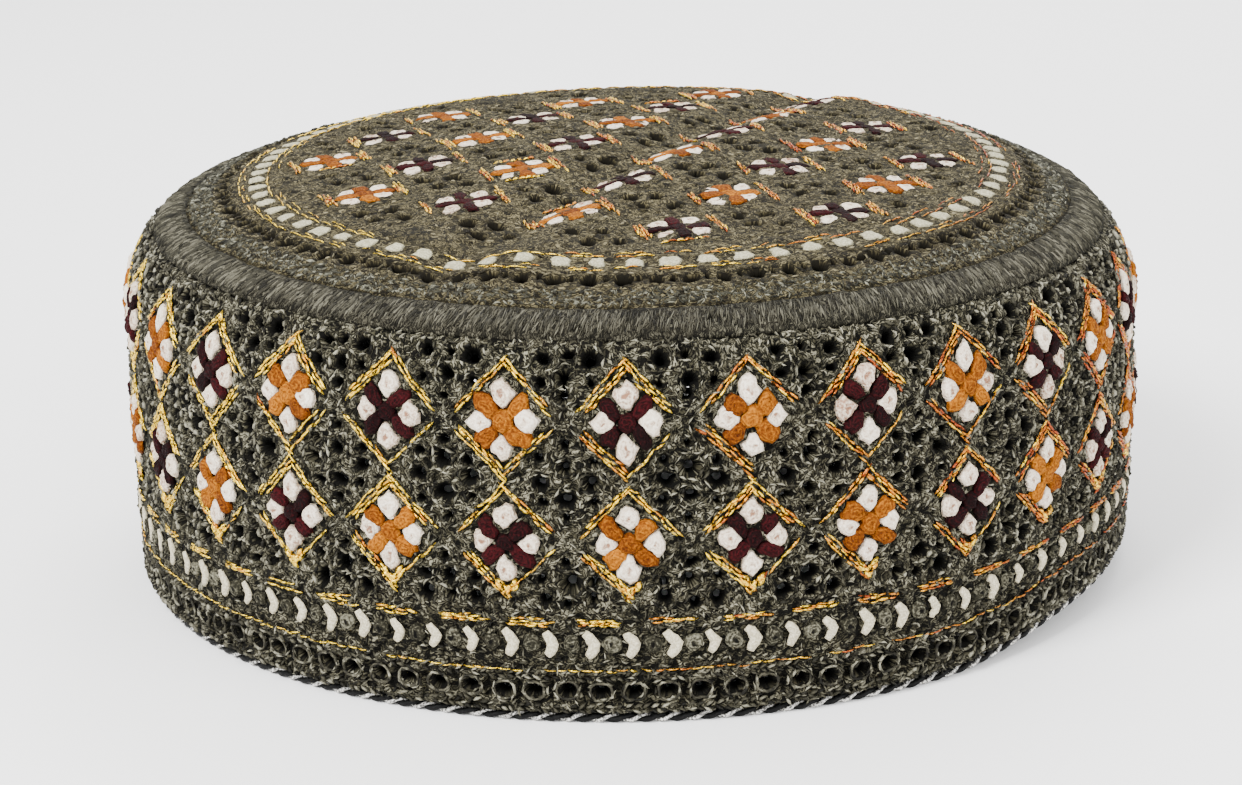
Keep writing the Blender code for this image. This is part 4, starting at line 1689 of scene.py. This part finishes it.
@dataclass
class Embroidery:
    """Knots and gold threads of the wall's and the crown's diamonds, and the gold lines."""

    side: SideBand
    crown: CrownDisc
    petal_out: tuple[float, float] = (3.80, 4.50)
    petal_side: tuple[float, float, float] = (2.20, 2.40, 0.80)
    petal_end: tuple[float, float, float] = (2.65, 2.10, 0.80)
    petal_square: float = 1.38
    arm_out: tuple[float, float] = (3.45, 3.25)
    arm_long: float = 2.45
    arm_wide_orange: float = 1.68
    arm_wide_maroon: float = 1.38
    arm_square: float = 2.7
    crown_size: float = 0.90
    crown_height: float = 0.50
    border_levels: tuple[tuple[float, float], ...] = ((0.985, 1.0), (0.900, 1.0), (0.815, 0.60))

    def sets(self) -> list[Diamonds]:
        """The diamonds of the wall and of the crown, orange and maroon in turn."""
        side, crown = self.side, self.crown
        number = np.arange(side.repeats) - side.repeats // 2
        u = WALL.numbered(side.repeats, side.pitch, side.first)
        rows = [np.stack((u, np.full(len(u), row)), axis=-1) for row in (side.upper_row, side.lower_row)]
        place, parity = crown.lattice(0.0)
        shown = TOP.share(place) < crown.diamond_share
        orange = np.concatenate((number % 2 == 1, number % 2 == 0))
        return [Diamonds(0, WALL, np.concatenate(rows), orange, 0.0, side.motif, 1.0, 1.0),
                Diamonds(1, TOP, place[shown], parity[shown] % 2 == 0, np.radians(crown.turn_first),
                         crown.motif, self.crown_size, self.crown_height)]

    def knots(self) -> None:
        """White petals toward the corners, coloured arms between them and a middle knot."""
        shapes = {cotton: Shape() for cotton in Cotton}
        for diamonds in self.sets():
            rng = np.random.default_rng(101 + diamonds.number)
            self.petals(shapes[Cotton.WHITE], diamonds, rng)
            orange, maroon = diamonds.centre[diamonds.orange], diamonds.centre[~diamonds.orange]
            self.arms(shapes[Cotton.ORANGE], diamonds, orange, self.arm_wide_orange, rng)
            self.arms(shapes[Cotton.MAROON], diamonds, maroon, self.arm_wide_maroon, rng)
        finishes = {Cotton.WHITE: WHITE_COTTON, Cotton.ORANGE: ORANGE_COTTON, Cotton.MAROON: MAROON_COTTON}
        for cotton, shape in shapes.items():
            claim(shape.build(cotton.value, finishes[cotton].make()))

    def petals(self, shape: Shape, diamonds: Diamonds, rng: np.random.Generator) -> None:
        """Add four petals to each diamond, wide at the sides and long at the ends."""
        bearing = QUARTER * np.arange(4)
        place = diamonds.around(diamonds.centre, bearing, self.petal_out)
        place = place + rng.normal(size=place.shape) * 0.14 * MM
        count = len(place)
        size = np.tile((self.petal_side, self.petal_end), (count // 2, 1)) * (1.0, 1.0, diamonds.tall)
        size = size * diamonds.wide * MM * rng.uniform(0.90, 1.10, (count, 3))
        heading = np.tile(bearing + diamonds.turn, count // 4) + rng.normal(size=count) * 0.10
        blush = np.repeat(np.where(diamonds.orange, 0.55, 0.42), 4) + rng.normal(size=count) * 0.10
        knots(shape, diamonds.patch, place, heading, size, 0.30 * diamonds.tall * MM, 0.24,
              111 + diamonds.number, self.petal_square, tone=blush)

    def arms(self, shape: Shape, diamonds: Diamonds, centre: Array, wide: float,
             rng: np.random.Generator) -> None:
        """Add four arms and a middle knot to each diamond of one colour.

        Args:
            shape: Where the arms go.
            diamonds: The cloth's diamonds.
            centre: Centres of those of this colour.
            wide: Half width of an arm in millimetres.
            rng: Source of the small differences.
        """
        slant = QUARTER * np.arange(4) + 0.5 * QUARTER
        arms = diamonds.around(centre, slant, self.arm_out)
        arms = arms + rng.normal(size=arms.shape) * 0.16 * MM
        place = np.concatenate((arms, centre))
        count = len(place)
        size = np.tile((self.arm_long, wide, 0.80 * diamonds.tall), (count, 1)) * MM
        size = size * rng.uniform(0.9, 1.12, (count, 3))
        size[len(arms):, :2] = 1.25 * wide * MM
        heading = np.concatenate((np.tile(slant + diamonds.turn, len(centre)), np.zeros(len(centre))))
        heading = heading + rng.normal(size=count) * 0.15
        knots(shape, diamonds.patch, place, heading, size, 0.40 * diamonds.tall * MM, 0.22,
              121 + diamonds.number, self.arm_square, tone=rng.uniform(0.25, 0.75, count))

    @staticmethod
    def strands(shape: Shape, patch: Patch, start: Array, end: Array, lift: float, tone: Array,
                pieces: int, rng: np.random.Generator, thick: float = 0.25 * MM) -> None:
        """Add gold strands as rows of short overlapping stitches.

        Args:
            shape: Where the stitches go.
            patch: Patch that they lie on.
            start: Flat start of each strand.
            end: Flat end of each strand.
            lift: Height of the cloth under the strands.
            tone: Tone of each strand.
            pieces: Stitches in a strand.
            rng: Source of the small differences.
            thick: Radius of a stitch.
        """
        count = len(start)
        low = (np.arange(pieces) / pieces)[None, :, None] - 0.06
        high = low + 1.0 / pieces + 0.05
        jitter = rng.normal(size=(count, pieces, 2, 2)) * 0.17 * MM
        line = (end - start)[:, None, :]
        first = start[:, None, :] + line * low + jitter[:, :, 0]
        last = start[:, None, :] + line * high + jitter[:, :, 1]
        along = np.array((0.0, 0.33, 0.67, 1.0))
        path = first[:, :, None, :] + (last - first)[:, :, None, :] * along[:, None]
        path = path.reshape(-1, 4, 2)
        rise = np.array((-0.12, 0.14, 0.14, -0.12)) * MM
        radius = np.array((0.35, 1.0, 1.0, 0.35)) * thick * rng.uniform(0.8, 1.2, (len(path), 1))
        tones = np.repeat(tone, pieces) + rng.normal(size=len(path)) * 0.22
        base = np.full((len(path), 1), lift)
        laid_tubes(shape, patch, path, base + rise, radius, 4, tone=np.repeat(tones[:, None], 4, axis=1))

    def borders(self) -> None:
        """Up to three gold strands along each side of every diamond, open at the side corners.

        On the wall the lower right sides are faint and the bottom tips of the lower row are
        thick and pale.  On the crown the sides that run from front to back are the full ones.
        """
        for diamonds in self.sets():
            rng = np.random.default_rng(131 + diamonds.number)
            shape = Shape()
            on_wall, centre, motif = diamonds.patch is WALL, diamonds.centre, diamonds.motif
            count = len(centre)
            if on_wall:
                warm = np.clip(0.26 + 0.54 * np.sin(centre[:, 0] / FORM.mean_half), 0.02, 0.95)
            else:
                warm = np.clip(0.50 + centre[:, 0] / FORM.half_width * 0.3, 0.3, 0.8)
            low_row = on_wall & (centre[:, 1] < self.side.meet_row)
            for (level, chance), side_x, side_y in product(self.border_levels, (-1.0, 1.0), (-1.0, 1.0)):
                if on_wall:
                    part = 0.50 if side_x > 0.0 > side_y else 1.0
                else:
                    part = 1.0 if side_x == side_y else 0.08
                keep = rng.uniform(size=count) < chance * part
                tip = np.array((0.0, side_y * motif.half_tall)) * level
                edge = np.array((side_x * motif.half_wide, 0.0)) * level - tip
                near, far = rng.uniform(-0.02, 0.05, count), rng.uniform(0.74, 0.92, count)
                if not on_wall:
                    near, far = near + rng.uniform(0.08, 0.30, count), far - rng.uniform(0.0, 0.15, count)
                start = centre + (tip + edge * near[:, None]) @ diamonds.spin
                end = centre + (tip + edge * far[:, None]) @ diamonds.spin
                tone = warm + rng.normal(size=count) * 0.12
                self.strands(shape, diamonds.patch, start[keep], end[keep], 0.21 * MM, tone[keep], 6, rng)
                if side_y < 0.0 and low_row.any() and level < 0.95:
                    end = centre + (tip + edge * 0.22) @ diamonds.spin
                    start = centre + (tip - edge * 0.05) @ diamonds.spin
                    self.strands(shape, diamonds.patch, start[low_row], end[low_row], 0.34 * MM,
                                 0.12 + 0.3 * warm[low_row], 2, rng, 0.46 * MM)
            name = "wall_gold_borders" if on_wall else "crown_gold_borders"
            claim(shape.build(name, MetalThread(name).make()))

    def lines(self) -> None:
        """Gold lines along the hem, by height, and round the crown, by share of the plan."""
        rng = np.random.default_rng(141)
        shape = Shape()
        thin, broken = self.side.thin_line, self.side.broken_line
        hem_rows = ((thin, 150, 1.0, 0.17 * MM), (broken - 0.40 * MM, 51, 0.60, 0.22 * MM),
                    (broken, 51, 0.64, 0.25 * MM), (broken + 0.42 * MM, 51, 0.55, 0.20 * MM))
        crown_rows = ((0.779, 62, 0.94, 0.15 * MM), (0.770, 58, 0.50, 0.13 * MM),
                      (0.722, 56, 0.86, 0.15 * MM), (0.708, 50, 0.60, 0.13 * MM))
        for level, count, fill, thick in hem_rows + crown_rows:
            on_hem = level < 0.1
            u = WALL.evenly(count)
            along = np.full(count, level) if on_hem else self.crown.ring_along(level, u)
            length = WALL.girth / count * fill * rng.uniform(0.85, 1.15, count)
            keep = rng.uniform(size=count) < (0.92 if on_hem else 0.80)
            wave = 0.18 * MM * np.sin(u / (23.0 * MM)) + rng.normal(size=count) * 0.10 * MM
            start = np.stack((u, along + wave), axis=-1)
            end = np.stack((u + length, along + wave + rng.normal(size=count) * 0.15 * MM), axis=-1)
            warm = np.clip(0.32 + 0.48 * np.sin(u / FORM.mean_half), 0.05, 0.92)
            pieces = 2 if thick < 0.18 * MM else 4
            self.strands(shape, WALL, start[keep], end[keep], 0.22 * MM, warm[keep], pieces, rng, thick)
        claim(shape.build("gold_lines", MetalThread("gold_lines").make()))


@dataclass
class EdgingCord:
    """Cord round the rim: a black and a silver strand twisted round each other."""

    across: float = 1.7 * MM
    inset: float = 1.0 * MM
    black_radius: float = 0.52 * MM
    silver_radius: float = 0.36 * MM
    turns: int = 112
    per_turn: int = 10
    sides: int = 7

    def middle(self, angle: Array) -> tuple[Array, Array]:
        """Centre line of the cord and its outward direction, under the middle of the cloth."""
        height = 0.5 * self.across
        u = (angle + QUARTER) * FORM.mean_half
        place = np.stack((u, np.full(len(u), height)), axis=-1)
        rim = WALL.lay(place, -self.inset)
        outward = unit(np.stack((rim[:, 0] / FORM.half_width ** 2, rim[:, 1] / FORM.half_depth ** 2,
                                 np.zeros(len(u))), axis=-1))
        rim[:, 2] = height + FORM.rim_lift(0.0, angle)
        return rim, outward

    def make(self) -> None:
        """Two helices round the centre line, half a turn apart, that stay above the floor."""
        count = self.turns * self.per_turn
        angle = FULL_TURN * np.arange(count) / count
        centre, outward = self.middle(angle)
        up = np.array((0.0, 0.0, 1.0))
        for name, phase, radius, finish in (("cord_black", 0.0, self.black_radius, BLACK_CORD),
                                            ("cord_silver", np.pi, self.silver_radius, SILVER_CORD)):
            turn = angle * self.turns + phase
            reach = 0.5 * self.across - radius
            path = centre + reach * (np.cos(turn)[:, None] * outward + np.sin(turn)[:, None] * up)
            shape = Shape()
            normal = np.tile(up, (count, 1))
            tubes(shape, path[None], normal[None], np.full((1, count), radius), self.sides, closed=True)
            item = claim(shape.build(name, finish.make()), "edging_cord")
            if name == "cord_black":
                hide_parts("edging_cord")


@dataclass
class Studio:
    """Pale floor, soft lights and the camera at the photo's angle, in degrees."""

    distance: float = 532.0 * MM
    rise: float = 15.769
    turn: float = 1.94
    roll: float = -1.184
    aim_height: float = 33.25 * MM
    lens: float = 78.89
    sensor: float = 36.0
    shift_x: float = -0.00907
    shift_y: float = -0.0187
    floor_half: float = 4.0
    surround: float = 1.8

    def camera(self) -> None:
        """Aim at the middle of the cap, then roll about the line of sight."""
        rise, turn = np.radians(self.rise), np.radians(self.turn)
        back = Vector((np.cos(rise) * np.sin(turn), -np.cos(rise) * np.cos(turn), np.sin(rise)))
        data = bpy.data.cameras.new("camera")
        data.lens = self.lens
        data.sensor_width = self.sensor
        data.shift_x = self.shift_x
        data.shift_y = self.shift_y
        item = bpy.data.objects.new("camera", data)
        bpy.context.scene.collection.objects.link(item)
        facing = back.to_track_quat("Z", "Y").to_matrix().to_4x4()
        roll = Matrix.Rotation(np.radians(self.roll), 4, "Z")
        place = Vector((0.0, 0.0, self.aim_height)) + back * self.distance
        item.matrix_world = Matrix.Translation(place) @ facing @ roll
        bpy.context.scene.camera = item

    def floor(self) -> None:
        """Wide plain floor."""
        shape = Shape()
        signs = np.array(((-1.0, -1.0, 0.0), (1.0, -1.0, 0.0), (1.0, 1.0, 0.0), (-1.0, 1.0, 0.0)))
        shape.add(signs * self.floor_half, [np.array(((0, 1, 2, 3),))])
        graph = Graph("studio_floor")
        shape.build("floor", graph.finish((0.93, 0.93, 0.93), 0.9))

    @staticmethod
    def light(name: str, place: Vector, size: float, power: float) -> None:
        """Soft square light aimed at the cap."""
        data = bpy.data.lights.new(name, "AREA")
        data.size = size
        data.energy = power
        item = bpy.data.objects.new(name, data)
        item.matrix_world = Matrix.Translation(place) @ place.to_track_quat("Z", "Y").to_matrix().to_4x4()
        bpy.context.scene.collection.objects.link(item)

    def lights(self) -> None:
        """Key from the upper left front, fill from the right, and an even pale surround."""
        self.light("key", Vector((-0.55, -0.75, 0.95)), 0.45, 36.0)
        self.light("fill", Vector((0.9, -0.7, 0.5)), 0.8, 12.0)
        self.light("back", Vector((0.2, 0.9, 0.9)), 0.7, 14.0)
        world = bpy.data.worlds.new("surround")
        world.use_nodes = True
        background = world.node_tree.nodes["Background"]
        background.inputs["Color"].default_value = (1.0, 1.0, 1.0, 1.0)
        background.inputs["Strength"].default_value = self.surround
        bpy.context.scene.world = world


def main() -> None:
    """Build every piece in order."""
    logging.basicConfig(level=logging.INFO, format="%(message)s")
    studio = Studio()
    studio.camera()
    studio.floor()
    studio.lights()
    seam = SeamBand()
    seam.cloth()
    seam.satin()
    side = SideBand()
    side.cloth()
    side.stitches()
    side.braid()
    side.crescent_band()
    crown = CrownDisc()
    crown.cloth()
    crown.stitches()
    crown.dash_ring()
    embroidery = Embroidery(side, crown)
    embroidery.knots()
    embroidery.borders()
    embroidery.lines()
    EdgingCord().make()
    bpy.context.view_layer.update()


if __name__ == "__main__":
    main()
